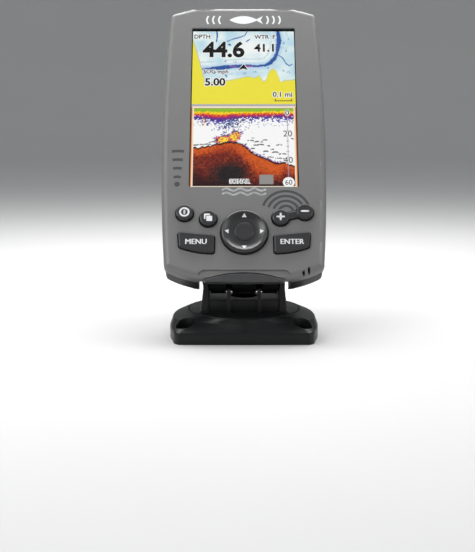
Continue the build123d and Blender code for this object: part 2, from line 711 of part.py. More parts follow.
for key_name, key_centre in (("power_key", POWER_KEY), ("pages_key", PAGES_KEY)):
    with BuildPart() as round_key:
        with BuildSketch(face.offset(-KEY_BACK)):
            with Locations(key_centre):
                Circle(ROUND_KEY_RADIUS)
        extrude(amount=KEY_BACK + ROUND_KEY_PROUD)
        fillet(round_key.faces().sort_by(back_axis)[-1].edges(), 0.8)
        with BuildSketch(face.offset(-KEY_BACK)):
            with Locations(key_centre):
                Circle(ROUND_KEY_RADIUS + FLANGE_RIM)
        extrude(amount=KEY_BACK - FLANGE_FRONT)
    save(round_key.part, key_name)

for key_name, side in (("menu_key", -1), ("enter_key", 1)):
    with BuildPart() as soft_key:
        with BuildSketch(face.offset(-KEY_BACK)):
            add(soft_key_outline(side))
        extrude(amount=KEY_BACK + SOFT_KEY_PROUD)
        fillet(soft_key.faces().sort_by(back_axis)[-1].edges(), 0.7)
        with BuildSketch(face.offset(-KEY_BACK)):
            add(soft_key_outline(side, FLANGE_RIM))
        extrude(amount=KEY_BACK - FLANGE_FRONT)
    save(soft_key.part, key_name)

with BuildPart() as zoom_rocker:
    with BuildSketch(face.offset(-ROCKING_FLANGE[1])):
        add(zoom_outline())
    extrude(amount=ROCKING_FLANGE[1] + ZOOM_WEB_PROUD)
    fillet(zoom_rocker.faces().sort_by(back_axis)[-1].edges(), 0.5)
    for pad_centre in (ZOOM_IN, ZOOM_OUT):
        with BuildSketch(face.offset(-ROCKING_FLANGE[0])):
            with Locations(pad_centre):
                Circle(ZOOM_RADIUS)
        extrude(amount=ROCKING_FLANGE[0] + ZOOM_PROUD)
        fillet(zoom_rocker.faces().sort_by(back_axis)[-1].edges(), 0.8)
    with BuildSketch(face.offset(-ROCKING_FLANGE[1])):
        add(zoom_outline(FLANGE_RIM))
    extrude(amount=ROCKING_FLANGE[1] - ROCKING_FLANGE[0])
save(zoom_rocker.part, "zoom_rocker")

pad_middle = face.from_local_coords((*PAD_CENTRE, 0))
pad_section = Plane(origin=pad_middle, x_dir=(1, 0, 0), z_dir=-face_up)
with BuildPart() as arrow_pad:
    with BuildSketch(pad_section):
        with BuildLine():
            Polyline(
                (0, HUB_PROUD),
                (0, -ROCKING_FLANGE[1]),
                (PAD_RADIUS + FLANGE_RIM, -ROCKING_FLANGE[1]),
                (PAD_RADIUS + FLANGE_RIM, -ROCKING_FLANGE[0]),
                (PAD_RADIUS, -ROCKING_FLANGE[0]),
                (PAD_RADIUS, 1.2),
            )
            ThreePointArc((PAD_RADIUS, 1.2), (PAD_RADIUS - 0.36, 2.3), PAD_RIM)
            ThreePointArc(PAD_RIM, (7.9, 1.55), (HUB_RADIUS + 0.4, PAD_DISH))
            Polyline((HUB_RADIUS + 0.4, PAD_DISH), (HUB_RADIUS, PAD_DISH), (HUB_RADIUS, HUB_PROUD - 0.4),
                     (HUB_RADIUS - 0.5, HUB_PROUD), (0, HUB_PROUD))
        make_face()
    revolve(axis=Axis(pad_middle, face_normal))
save(arrow_pad.part, "arrow_pad")

with BuildPart() as arrow_pad_pivot:
    with BuildSketch(face.offset(-ROCKING_FLANGE[1] - 0.12)):
        with Locations(PAD_CENTRE):
            Circle(2.2)
    extrude(amount=ROCKING_FLANGE[1] + 0.12 - DOME_FRONT)
save(arrow_pad_pivot.part, "arrow_pad_pivot")

# ================================================================== cable sockets and vent
for socket_name, side in (("power_socket", -1), ("transducer_socket", 1)):
    with BuildPart() as socket:
        with BuildSketch(face.offset(-SOCKET_BASE)):
            with Locations((side * SOCKET_ACROSS, SOCKET_UP)):
                Circle(SOCKET_RADIUS)
        extrude(amount=SOCKET_BASE - SOCKET_MOUTH)
        with BuildSketch(face.offset(-SOCKET_FLOOR)):
            with Locations((side * SOCKET_ACROSS, SOCKET_UP)):
                Circle(SOCKET_BORE)
        extrude(amount=-20, mode=Mode.SUBTRACT)
        with BuildSketch(face.offset(-HUMP_BACK)):
            with Locations((side * SOCKET_ACROSS, SOCKET_UP)):
                Circle(SOCKET_RADIUS + 1.6)
                Circle(SOCKET_RADIUS, mode=Mode.SUBTRACT)
        extrude(amount=-0.8)
        # keyway in the rim
        with BuildSketch(face.offset(-SOCKET_MOUTH + 3)):
            with Locations((side * SOCKET_ACROSS, SOCKET_UP + SOCKET_BORE)):
                Rectangle(2.4, 1.6)
        extrude(amount=-20, mode=Mode.SUBTRACT)
    save(socket.part, socket_name)

pin_turns = {"power_socket_pins": (90, 270), "transducer_socket_pins": (90, 205, 335)}
for (pins_name, turns), side in zip(pin_turns.items(), (-1, 1)):
    with BuildPart() as pins:
        with BuildSketch(face.offset(-SOCKET_FLOOR)):
            for turn in turns:
                with Locations((side * SOCKET_ACROSS + 4.5 * cos(radians(turn)),
                                SOCKET_UP + 4.5 * sin(radians(turn)))):
                    Circle(0.6)
        extrude(amount=-7.0)
    save(pins.part, pins_name)

with BuildPart() as breather_vent:
    with BuildSketch(face.offset(-HUMP_BACK)):
        with Locations((0, VENT_UP)):
            Circle(3.9)
    extrude(amount=-0.7)
    with BuildSketch(face.offset(-HUMP_BACK)):
        with Locations((0, VENT_UP)):
            Circle(2.9)
    extrude(amount=2.6)
save(breather_vent.part, "breather_vent")

# ================================================================== bracket head
with BuildPart() as tilt_head:
    with BuildSketch(across):
        Circle(BARREL_RADIUS - 1.0)
    extrude(amount=BARREL_HALF, both=True)
    # three rings round the barrel, each with a finger of the chin block under the button
    for ring_start, ring_end in ((-BARREL_HALF, -RING_INNER), (-RING_MIDDLE, RING_MIDDLE),
                                 (RING_INNER, BARREL_HALF)):
        with BuildSketch(across.offset(ring_start)):
            Circle(BARREL_RADIUS)
            with BuildLine():
                Polyline(
                    (-10.6, PIVOT_IN - 5.3), (-5.6, PIVOT_IN - 5.3), (-5.6, PIVOT_IN - 8.4),
                    (2.0, PIVOT_IN - 10.2), (4.0, 0), (-6.0, 0), (-10.6, PIVOT_IN - 11.5),
                    close=True,
                )
            make_face()
        extrude(amount=ring_end - ring_start)
    # link, rail and shoe block
    with BuildSketch(across):
        with BuildLine():
            Polyline((0, 6.5), (RAIL_LOW - PIVOT_UP + 2, 6.5), (RAIL_LOW - PIVOT_UP + 2, -8.6),
                     (0, -8.6), close=True)
        make_face()
    extrude(amount=SHOE_BLOCK_HALF, both=True)
    with BuildSketch(face.offset(-RAIL_FRONT)):
        with Locations((0, (RAIL_LOW + RAIL_HIGH) / 2)):
            Rectangle(2 * RAIL_HALF, RAIL_HIGH - RAIL_LOW)
    extrude(amount=RAIL_FRONT - RAIL_BACK)
    with BuildSketch(face.offset(-RAIL_BACK)):
        with Locations((0, (RAIL_LOW + RAIL_HIGH) / 2)):
            RectangleRounded(2 * SHOE_BLOCK_HALF, RAIL_HIGH - RAIL_LOW, 1.5)
    extrude(amount=RAIL_BACK - SHOE_BLOCK_BACK)
    # ribs hollowed into the back of the shoe block
    with BuildSketch(face.offset(-SHOE_BLOCK_BACK)):
        for rib in range(-1, 2):
            with Locations((rib * 8.6, (RAIL_LOW + RAIL_HIGH) / 2 + 1)):
                RectangleRounded(6.6, RAIL_HIGH - RAIL_LOW - 8, 1.0)
    extrude(amount=4.0, mode=Mode.SUBTRACT)
    # pin bore, and the two bores that guide the button's stems
    with BuildSketch(across):
        Circle(PIN_RADIUS + RUNNING)
    extrude(amount=BARREL_HALF + 1, both=True, mode=Mode.SUBTRACT)
    with BuildSketch(face.offset(-4)):
        with Locations(both_sides([(STEM_ACROSS, STEM_UP)])):
            Circle(STEM_RADIUS + RUNNING)
    extrude(amount=4 - STEM_BORE_END, mode=Mode.SUBTRACT)
save(tilt_head.part, "tilt_head")

with BuildPart() as release_button:
    with BuildSketch(face.offset(-BUTTON_BACK)):
        with BuildLine():
            ThreePointArc((-19.4, -50.2), (0, -46.6), (19.4, -50.2))
            Line((19.4, -50.2), (18.8, -51.0))
            ThreePointArc((18.8, -51.0), (0, -51.3), (-18.8, -51.0))
            Line((-18.8, -51.0), (-19.4, -50.2))
        make_face()
    extrude(amount=BUTTON_BACK - BUTTON_FRONT)
    chamfer(release_button.faces().sort_by(back_axis)[-1].edges(), 0.5)
    with BuildSketch(face.offset(-BUTTON_BACK)):
        with Locations(both_sides([(STEM_ACROSS, STEM_UP)])):
            Circle(STEM_RADIUS)
    extrude(amount=BUTTON_BACK - STEM_END)
save(release_button.part, "release_button")

with BuildPart() as release_springs:
    with BuildSketch(face.offset(-STEM_BORE_END)):
        with Locations(both_sides([(STEM_ACROSS, STEM_UP)])):
            Circle(1.0)
            Circle(0.6, mode=Mode.SUBTRACT)
    extrude(amount=STEM_BORE_END - STEM_END - 1.6)
save(release_springs.part, "release_springs")

with BuildPart() as tilt_pin:
    with BuildSketch(across.offset(-PIN_HEAD[1])):
        Circle(PIN_RADIUS)
    extrude(amount=PIN_HEAD[1] + PIN_HEAD[2])
    with BuildSketch(across.offset(-PIN_HEAD[1])):
        Circle(PIN_HEAD[0])
    extrude(amount=PIN_HEAD[1] - PIN_HEAD[2])
    with BuildSketch(across.offset(-PIN_HEAD[2])):
        RegularPolygon(1.8, 6)
    extrude(amount=1.2, mode=Mode.SUBTRACT)
save(tilt_pin.part, "tilt_pin")

with BuildPart() as tilt_pin_clip:
    with BuildSketch(across.offset(PIN_HEAD[1])):
        Circle(PIN_HEAD[0])
        Circle(PIN_RADIUS, mode=Mode.SUBTRACT)
    extrude(amount=0.9)
save(tilt_pin_clip.part, "tilt_pin_clip")

with BuildPart() as friction_washers:
    for side in (-1, 1):
        with BuildSketch(across.offset(side * (BARREL_HALF + 0.05))):
            Circle(BARREL_RADIUS - 1.0)
            Circle(PIN_RADIUS + 0.3, mode=Mode.SUBTRACT)
        extrude(amount=side * (CHEEK_INNER - BARREL_HALF - 0.1))
save(friction_washers.part, "friction_washers")

# ================================================================== neck and swivel
with BuildPart() as cheeks:
    with BuildSketch(upright):
        Circle(EAR_RADIUS)
        with BuildLine():
            Polyline(
                (-EAR_RADIUS, 0),
                (NECK_FRONT - PIVOT_Y, DISC_TOP - PIVOT_Z),
                (NECK_REAR - PIVOT_Y, DISC_TOP - PIVOT_Z),
                (EAR_RADIUS, 0),
                close=True,
            )
        make_face()
    extrude(amount=CHEEK_FOOT, both=True)
    with BuildSketch(Plane.XZ.offset(-NECK_REAR - 1)):
        for side in (-1, 1):
            with BuildLine():
                Polyline(
                    (side * CHEEK_INNER, DISC_TOP - 1),
                    (side * CHEEK_FOOT, DISC_TOP - 1),
                    (side * CHEEK_FOOT, DISC_TOP),
                    (side * CHEEK_OUTER, FLARE_TOP),
                    (side * CHEEK_OUTER, PIVOT_Z + EAR_RADIUS + 1),
                    (side * CHEEK_INNER, PIVOT_Z + EAR_RADIUS + 1),
                    close=True,
                )
            make_face()
    extrude(amount=NECK_REAR - NECK_FRONT + 2, mode=Mode.INTERSECT)
    chamfer(
        cheeks.edges().filter_by(lambda e: e.center().Y < NECK_FRONT + 1.5 and e.center().Z < PIVOT_Z
                                 and e.length > CHEEK_BEVEL * 10),
        CHEEK_BEVEL,
    )

with BuildPart() as swivel_neck:
    with BuildSketch(Plane.XY.offset(DISC_BOTTOM)):
        Circle(DISC_RADIUS)
    extrude(amount=DISC_TOP - DISC_BOTTOM)
    fillet(swivel_neck.faces().sort_by(Axis.Z)[-1].edges(), 0.6)
    add(cheeks.part)
    # web between the cheeks, with two ribs that stand up in the barrel's grooves
    with BuildSketch(Plane.XY.offset(DISC_TOP)):
        with Locations((0, (WEB_FRONT + WEB_REAR) / 2)):
            Rectangle(2 * CHEEK_INNER, WEB_REAR - WEB_FRONT)
    extrude(amount=WEB_TOP - DISC_TOP)
    for side in (-1, 1):
        with BuildSketch(Plane.YZ.offset(side * (RING_MIDDLE + RING_INNER) / 2)):
            with BuildLine():
                Polyline((-15.0, DISC_TOP), (-15.0, 24.0), (-12.7, 26.0), (-12.7, DISC_TOP), close=True)
            make_face()
        extrude(amount=RIB_THICK / 2, both=True)
    foot_edges = swivel_neck.edges().filter_by(
        lambda e: abs(e.center().Z - DISC_TOP) < 0.01 and abs(abs(e.center().X) - CHEEK_FOOT) < 0.01
    )
    fillet(foot_edges, 1.8)
    # tilt pin bore with a recess for its head and its clip
    with BuildSketch(across):
        Circle(PIN_RADIUS + RUNNING)
    extrude(amount=CHEEK_OUTER + 1, both=True, mode=Mode.SUBTRACT)
    for side in (-1, 1):
        with BuildSketch(across.offset(side * (PIN_HEAD[1] - 0.02))):
            Circle(PIN_HEAD[0] + 0.2)
        extrude(amount=side * 3, mode=Mode.SUBTRACT)
    # bore for the foot's spigot, and room above it for the washer and screw
    with BuildSketch(Plane.XY):
        Circle(SPIGOT_RADIUS + RUNNING)
    extrude(amount=WEB_TOP, mode=Mode.SUBTRACT)
    with BuildSketch(Plane.XY.offset(DISC_TOP)):
        Circle(WASHER_RADIUS + 0.4)
    extrude(amount=WEB_TOP, mode=Mode.SUBTRACT)
save(swivel_neck.part, "swivel_neck")

with BuildPart() as bearing_ring:
    with BuildSketch(Plane.XY.offset(SEAT_Z)):
        Circle(DISC_RADIUS - 1.5)
        Circle(SPIGOT_RADIUS + 2, mode=Mode.SUBTRACT)
    extrude(amount=RING_TOP - SEAT_Z)
save(bearing_ring.part, "bearing_ring")

with BuildPart() as swivel_washer:
    with BuildSketch(Plane.XY.offset(SPIGOT_TOP)):
        Circle(WASHER_RADIUS)
        Circle(2.0, mode=Mode.SUBTRACT)
    extrude(amount=WASHER_TOP - SPIGOT_TOP)
save(swivel_washer.part, "swivel_washer")

with BuildPart() as swivel_screw:
    with BuildSketch(Plane.XY.offset(WASHER_TOP)):
        Circle(3.4)
    extrude(amount=2.2)
    with BuildSketch(Plane.XY.offset(3.4)):
        Circle(1.75)
    extrude(amount=WASHER_TOP - 3.4)
    with BuildSketch(Plane.XY.offset(WASHER_TOP + 2.2)):
        RegularPolygon(1.6, 6)
    extrude(amount=-1.3, mode=Mode.SUBTRACT)
save(swivel_screw.part, "swivel_screw")

# ================================================================== foot
LEVEL = [0] * len(FOOT_CORNERS)
with BuildPart() as mount_base:
    with BuildSketch(Plane.XY):
        add(foot_outline(LEVEL))
    extrude(amount=FOOT_EDGE)
    with BuildSketch(Plane.XY.offset(FOOT_EDGE)):
        add(foot_outline(LEVEL))
    with BuildSketch(Plane.XY.offset(FOOT_SHOULDER)):
        add(foot_outline(FOOT_CURL))
    with BuildSketch(Plane.XY.offset(FOOT_PLATEAU)):
        add(foot_outline([1] * len(FOOT_CORNERS)))
    loft(ruled=True)
    fillet(
        mount_base.edges().filter_by(lambda e: abs(e.center().Z - FOOT_EDGE) < 0.01 and e.center().Y < 15),
        FOOT_LIP,
    )
    # seat for the neck's disc, the spigot it turns on, and the screw hole down the spigot
    with BuildSketch(Plane.XY.offset(SEAT_Z)):
        Circle(DISC_RADIUS + DISC_GAP)
    extrude(amount=10, mode=Mode.SUBTRACT)
    with BuildSketch(Plane.XY.offset(SEAT_Z)):
        Circle(SPIGOT_RADIUS)
    extrude(amount=SPIGOT_TOP - SEAT_Z)
    with BuildSketch(Plane.XY.offset(3.0)):
        Circle(1.8)
    extrude(amount=SPIGOT_TOP, mode=Mode.SUBTRACT)
    # screw holes in pockets sunk from the sloping top
    with BuildSketch(Plane.XY):
        with Locations(foot_screws()):
            Circle(SCREW_HOLE_RADIUS)
    extrude(amount=20, mode=Mode.SUBTRACT)
    with BuildSketch(Plane.XY.offset(SCREW_FLOOR)):
        with Locations(foot_screws()):
            Circle(SCREW_POCKET_RADIUS)
    extrude(amount=20, mode=Mode.SUBTRACT)
save(mount_base.part, "mount_base")
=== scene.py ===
"""Looks of the portrait fish finder: materials, key legends, display picture, light and camera.

Lengths in the local drawings are millimetres on the face plane: u across, v up from the bottom
edge of the display, w out of the face. Blender objects are in metres in the row frame.
"""

import math

import bmesh
import bpy
import numpy as np
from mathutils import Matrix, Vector
from mathutils.bvhtree import BVHTree


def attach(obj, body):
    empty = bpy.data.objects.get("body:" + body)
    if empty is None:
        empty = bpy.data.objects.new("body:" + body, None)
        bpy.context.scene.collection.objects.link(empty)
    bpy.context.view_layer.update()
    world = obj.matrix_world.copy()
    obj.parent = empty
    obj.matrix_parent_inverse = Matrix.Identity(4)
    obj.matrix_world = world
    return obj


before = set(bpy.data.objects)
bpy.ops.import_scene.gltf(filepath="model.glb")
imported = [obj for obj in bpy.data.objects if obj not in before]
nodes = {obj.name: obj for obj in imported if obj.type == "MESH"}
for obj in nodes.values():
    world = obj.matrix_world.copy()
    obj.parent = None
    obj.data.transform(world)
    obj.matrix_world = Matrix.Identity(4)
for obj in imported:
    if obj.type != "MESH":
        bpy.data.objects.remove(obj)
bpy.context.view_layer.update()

# ------------------------------------------------------------------ the face plane
MM = 0.001
TILT_BACK = math.radians(33.0)
PIVOT = Vector((0.0, -3.8, 28.9))
PIVOT_UP, PIVOT_IN = -40.0, 19.0
NORMAL = Vector((0.0, -math.cos(TILT_BACK), math.sin(TILT_BACK)))
UP = Vector((0.0, math.sin(TILT_BACK), math.cos(TILT_BACK)))
ORIGIN = PIVOT - UP * PIVOT_UP + NORMAL * PIVOT_IN
DISPLAY = (53.9, 95.0)


def on_face(u, v, w):
    """A point of the face plane in the row frame, in metres."""
    return (ORIGIN + Vector((u, 0, 0)) + UP * v + NORMAL * w) * MM


def srgb(r, g, b):
    """Linear colour of an 8-bit one, opaque."""
    def lin(c):
        c /= 255.0
        return c / 12.92 if c <= 0.04045 else ((c + 0.055) / 1.055) ** 2.4
    return (lin(r), lin(g), lin(b), 1.0)


# ------------------------------------------------------------------ materials
class Nodes:
    """Short hand for building one material's node tree."""

    def __init__(self, name):
        self.mat = bpy.data.materials.new(name)
        self.mat.use_nodes = True
        self.tree = self.mat.node_tree
        self.bsdf = self.tree.nodes["Principled BSDF"]
        self.out = self.tree.nodes["Material Output"]
        self.coords = self.add("ShaderNodeTexCoord")

    def add(self, kind, **values):
        node = self.tree.nodes.new(kind)
        for key, value in values.items():
            if key in node.inputs:
                node.inputs[key].default_value = value
            else:
                setattr(node, key, value)
        return node

    def link(self, a, b):
        self.tree.links.new(a, b)

    def noise(self, scale, detail=2.0, rough=0.5, stretch=None):
        """Noise in the object's own space, stretched along an axis if asked."""
        node = self.add("ShaderNodeTexNoise")
        node.inputs["Scale"].default_value = scale
        node.inputs["Detail"].default_value = detail
        node.inputs["Roughness"].default_value = rough
        if stretch:
            mapping = self.add("ShaderNodeMapping")
            mapping.inputs["Scale"].default_value = stretch
            self.link(self.coords.outputs["Object"], mapping.inputs["Vector"])
            self.link(mapping.outputs["Vector"], node.inputs["Vector"])
        else:
            self.link(self.coords.outputs["Object"], node.inputs["Vector"])
        return node.outputs["Fac"]

    def remap(self, fac, low, high):
        """A value from 0 to 1, spread from low to high."""
        node = self.add("ShaderNodeMapRange")
        node.inputs["To Min"].default_value = low
        node.inputs["To Max"].default_value = high
        self.link(fac, node.inputs["Value"])
        return node.outputs["Result"]

    def mix(self, fac, a, b):
        """Mixes two colours or colour sockets."""
        node = self.add("ShaderNodeMix", data_type="RGBA")
        self.link(fac, node.inputs["Factor"])
        for socket, value in ((node.inputs[6], a), (node.inputs[7], b)):
            if isinstance(value, bpy.types.NodeSocket):
                self.link(value, socket)
            else:
                socket.default_value = value
        return node.outputs[2]

    def bump(self, height, strength, distance, under=None):
        node = self.add("ShaderNodeBump")
        node.inputs["Strength"].default_value = strength
        node.inputs["Distance"].default_value = distance
        self.link(height, node.inputs["Height"])
        if under:
            self.link(under, node.inputs["Normal"])
        return node.outputs["Normal"]

    def edge(self, radius, low=0.02, high=0.25):
        """1 on edges rounded over that radius, 0 on open surface."""
        bevel = self.add("ShaderNodeBevel", samples=4)
        bevel.inputs["Radius"].default_value = radius
        geometry = self.add("ShaderNodeNewGeometry")
        dot = self.add("ShaderNodeVectorMath", operation="DOT_PRODUCT")
        self.link(bevel.outputs["Normal"], dot.inputs[0])
        self.link(geometry.outputs["Normal"], dot.inputs[1])
        node = self.add("ShaderNodeMapRange")
        node.inputs["From Min"].default_value = 1.0 - low
        node.inputs["From Max"].default_value = 1.0 - high
        self.link(dot.outputs["Value"], node.inputs["Value"])
        return node.outputs["Result"]


def plastic(name, colour, rough, grain, grain_depth, mottle=0.12, wear_and_highlight=0.25, spec=0.5, soft=0.0004):
    """Moulded plastic: fine spark-eroded grain, slight mottle, and paler edges, partly worn and partly a
    painted highlight.

    grain is the noise's scale; grain_depth and soft, the rounding of the edges, are in metres.
    """
    n = Nodes(name)
    dark = tuple(c * (1 - mottle) for c in colour[:3]) + (1,)
    pale = tuple(min(1, c * (1 + mottle)) for c in colour[:3]) + (1,)
    body = n.mix(n.noise(90, 4), dark, pale)
    # Paler edges: partly worn plastic, partly a painted highlight where the rims catch the light.
    rubbed_and_highlit = tuple(min(1, c * 1.7 + 0.01) for c in colour[:3]) + (1,)
    scuff_and_highlight = n.add("ShaderNodeMath", operation="MULTIPLY")
    n.link(n.edge(0.0005), scuff_and_highlight.inputs[0])
    n.link(n.remap(n.noise(400, 3), -0.3 * wear_and_highlight, 1.3 * wear_and_highlight), scuff_and_highlight.inputs[1])
    n.link(n.mix(scuff_and_highlight.outputs[0], body, rubbed_and_highlit), n.bsdf.inputs["Base Color"])
    n.link(n.remap(n.noise(140, 3), rough - 0.06, rough + 0.06), n.bsdf.inputs["Roughness"])
    n.bsdf.inputs["Specular IOR Level"].default_value = spec
    round_edges = n.add("ShaderNodeBevel", samples=6)
    round_edges.inputs["Radius"].default_value = soft
    n.link(n.bump(n.noise(grain, 3, 0.6), 0.35, grain_depth, round_edges.outputs["Normal"]),
           n.bsdf.inputs["Normal"])
    return n.mat


def metal(name, colour, rough, brushed=False):
    """Bare metal with fine scratches along one way, or a plain rolled face."""
    n = Nodes(name)
    lines = n.noise(900, 2, 0.5, (1, 0.05, 0.05) if brushed else None)
    dull = tuple(c * 0.8 for c in colour[:3]) + (1,)
    n.link(n.mix(lines, dull, colour), n.bsdf.inputs["Base Color"])
    n.link(n.remap(lines, rough - 0.08, rough + 0.1), n.bsdf.inputs["Roughness"])
    n.bsdf.inputs["Metallic"].default_value = 1.0
    n.link(n.bump(lines, 0.15, 0.00003), n.bsdf.inputs["Normal"])
    return n.mat


def print_ink(name, colour, rough=0.55):
    """Pad-printed ink: faint pinholes and a slightly uneven film."""
    n = Nodes(name)
    thin = tuple(c * 0.86 for c in colour[:3]) + (1,)
    n.link(n.mix(n.noise(1500, 2), thin, colour), n.bsdf.inputs["Base Color"])
    n.link(n.remap(n.noise(700, 2), rough - 0.1, rough + 0.1), n.bsdf.inputs["Roughness"])
    n.link(n.bump(n.noise(2500, 2), 0.1, 0.00002), n.bsdf.inputs["Normal"])
    return n.mat


def lit(name, colour, strength, attribute=None):
    """A lit part of the display: a colour with faint pixel grain, or a painted attribute."""
    n = Nodes(name)
    n.bsdf.inputs["Base Color"].default_value = (0.01, 0.01, 0.01, 1)
    n.bsdf.inputs["Roughness"].default_value = 0.4
    n.bsdf.inputs["Specular IOR Level"].default_value = 0.05
    if attribute:
        source = n.add("ShaderNodeAttribute", attribute_name=attribute).outputs["Color"]
    else:
        low = tuple(c * 0.94 for c in colour[:3]) + (1,)
        source = n.mix(n.noise(5000, 1), low, colour)
    n.link(source, n.bsdf.inputs["Emission Color"])
    n.bsdf.inputs["Emission Strength"].default_value = strength
    return n.mat


def board(name):
    """Solder-masked laminate with faint tracks."""
    n = Nodes(name)
    tracks = n.add("ShaderNodeTexBrick")
    tracks.inputs["Scale"].default_value = 260
    tracks.inputs["Color1"].default_value = (0.012, 0.10, 0.035, 1)
    tracks.inputs["Color2"].default_value = (0.015, 0.12, 0.045, 1)
    tracks.inputs["Mortar"].default_value = (0.03, 0.2, 0.08, 1)
    n.link(n.coords.outputs["Object"], tracks.inputs["Vector"])
    n.link(tracks.outputs["Color"], n.bsdf.inputs["Base Color"])
    n.bsdf.inputs["Roughness"].default_value = 0.3
    n.link(n.bump(tracks.outputs["Fac"], 0.2, 0.00003), n.bsdf.inputs["Normal"])
    return n.mat


def clear_window(name):
    """Clear window with a faint haze of wiped smears in its gloss."""
    n = Nodes(name)
    n.bsdf.inputs["Base Color"].default_value = (1, 1, 1, 1)
    n.bsdf.inputs["Transmission Weight"].default_value = 1.0
    n.bsdf.inputs["IOR"].default_value = 1.22
    n.link(n.remap(n.noise(60, 3, 0.5, (1, 0.2, 0.2)), 0.0, 0.05), n.bsdf.inputs["Roughness"])
    return n.mat


M = {
    "case": plastic("case_grey", srgb(112, 112, 111), 0.44, 2600, 0.00006, 0.05, 0.2),
    "housing": plastic("housing_black", srgb(22, 23, 24), 0.5, 2200, 0.00008, 0.1, 0.25),
    "bracket": plastic("bracket_charcoal", srgb(19, 20, 21), 0.38, 1800, 0.00006, 0.1, 0.6,
                       spec=0.26, soft=0.0006),
    # The keys, the pad and the bracket get strongly lightened edges, a painted highlight on their rims as
    # well as wear.
    "key": plastic("key_rubber", srgb(44, 44, 45), 0.3, 3200, 0.00003, 0.06, 1.0),
    "pad": plastic("pad_gloss", srgb(46, 46, 47), 0.3, 3200, 0.00001, 0.05, 0.9),
    "button": plastic("button_grey", srgb(62, 62, 63), 0.36, 2600, 0.00004, 0.06, 0.25),
    "oxide": metal("swivel_oxide", (0.09, 0.09, 0.095, 1), 0.4),
    "seal": plastic("seal_rubber", srgb(20, 20, 21), 0.7, 1500, 0.00006, 0.1, 0.05),
    "part": plastic("component_black", srgb(28, 28, 30), 0.45, 2400, 0.00005, 0.1, 0.1),
    "bearing": plastic("bearing_acetal", srgb(215, 214, 206), 0.35, 1200, 0.00003, 0.04, 0.1),
    "ceramic": plastic("antenna_ceramic", srgb(176, 164, 140), 0.55, 1600, 0.00004, 0.08, 0.1),
    "ribbon": plastic("ribbon_film", srgb(176, 104, 34), 0.3, 900, 0.00002, 0.1, 0.1),
    "steel": metal("screw_steel", (0.62, 0.62, 0.6, 1), 0.32, True),
    "sheet": metal("tray_metal", (0.72, 0.72, 0.72, 1), 0.42),
    "brass": metal("pin_brass", (0.83, 0.63, 0.28, 1), 0.25, True),
    "board": board("board_green"),
    "glass": clear_window("window_glass"),
    "ink": print_ink("legend_white", srgb(232, 233, 235)),
    "ink_dark": print_ink("mark_dark", srgb(62, 63, 66)),
}

NODE_LOOKS = {
    "case": ["front_bezel"],
    "housing": ["rear_housing", "card_door", "power_socket", "transducer_socket", "breather_vent"],
    "bracket": ["mount_base", "swivel_neck", "tilt_head"],
    "button": ["release_button"],
    "key": ["power_key", "pages_key", "menu_key", "enter_key", "zoom_rocker"],
    "pad": ["arrow_pad"],
    "seal": ["case_gasket", "window_gasket", "keypad_mat", "friction_washers"],
    "glass": ["display_window"],
    "sheet": ["backlight_frame", "processor_shield", "key_domes"],
    "board": ["main_board", "keypad_board"],
    "part": ["lcd_panel", "sonar_transformer", "capacitors", "card_socket", "buzzer",
             "arrow_pad_pivot"],
    "ceramic": ["gps_antenna"],
    "ribbon": ["display_ribbon", "keypad_ribbon"],
    "steel": ["board_screws", "case_screws", "keypad_screws", "tilt_pin_clip", "release_springs"],
    "oxide": ["swivel_screw", "swivel_washer", "tilt_pin"],
    "brass": ["power_socket_pins", "transducer_socket_pins"],
    "bearing": ["bearing_ring"],
}
for look, names in NODE_LOOKS.items():
    for node_name in names:
        mesh = nodes[node_name].data
        mesh.materials.clear()
        mesh.materials.append(M[look])


# ------------------------------------------------------------------ flat drawings
CAP_HEIGHT = 0.7  # of the built-in font at size 1
INK_LIFT = 0.03
RAY_START = 20  # above the face, clear of every key


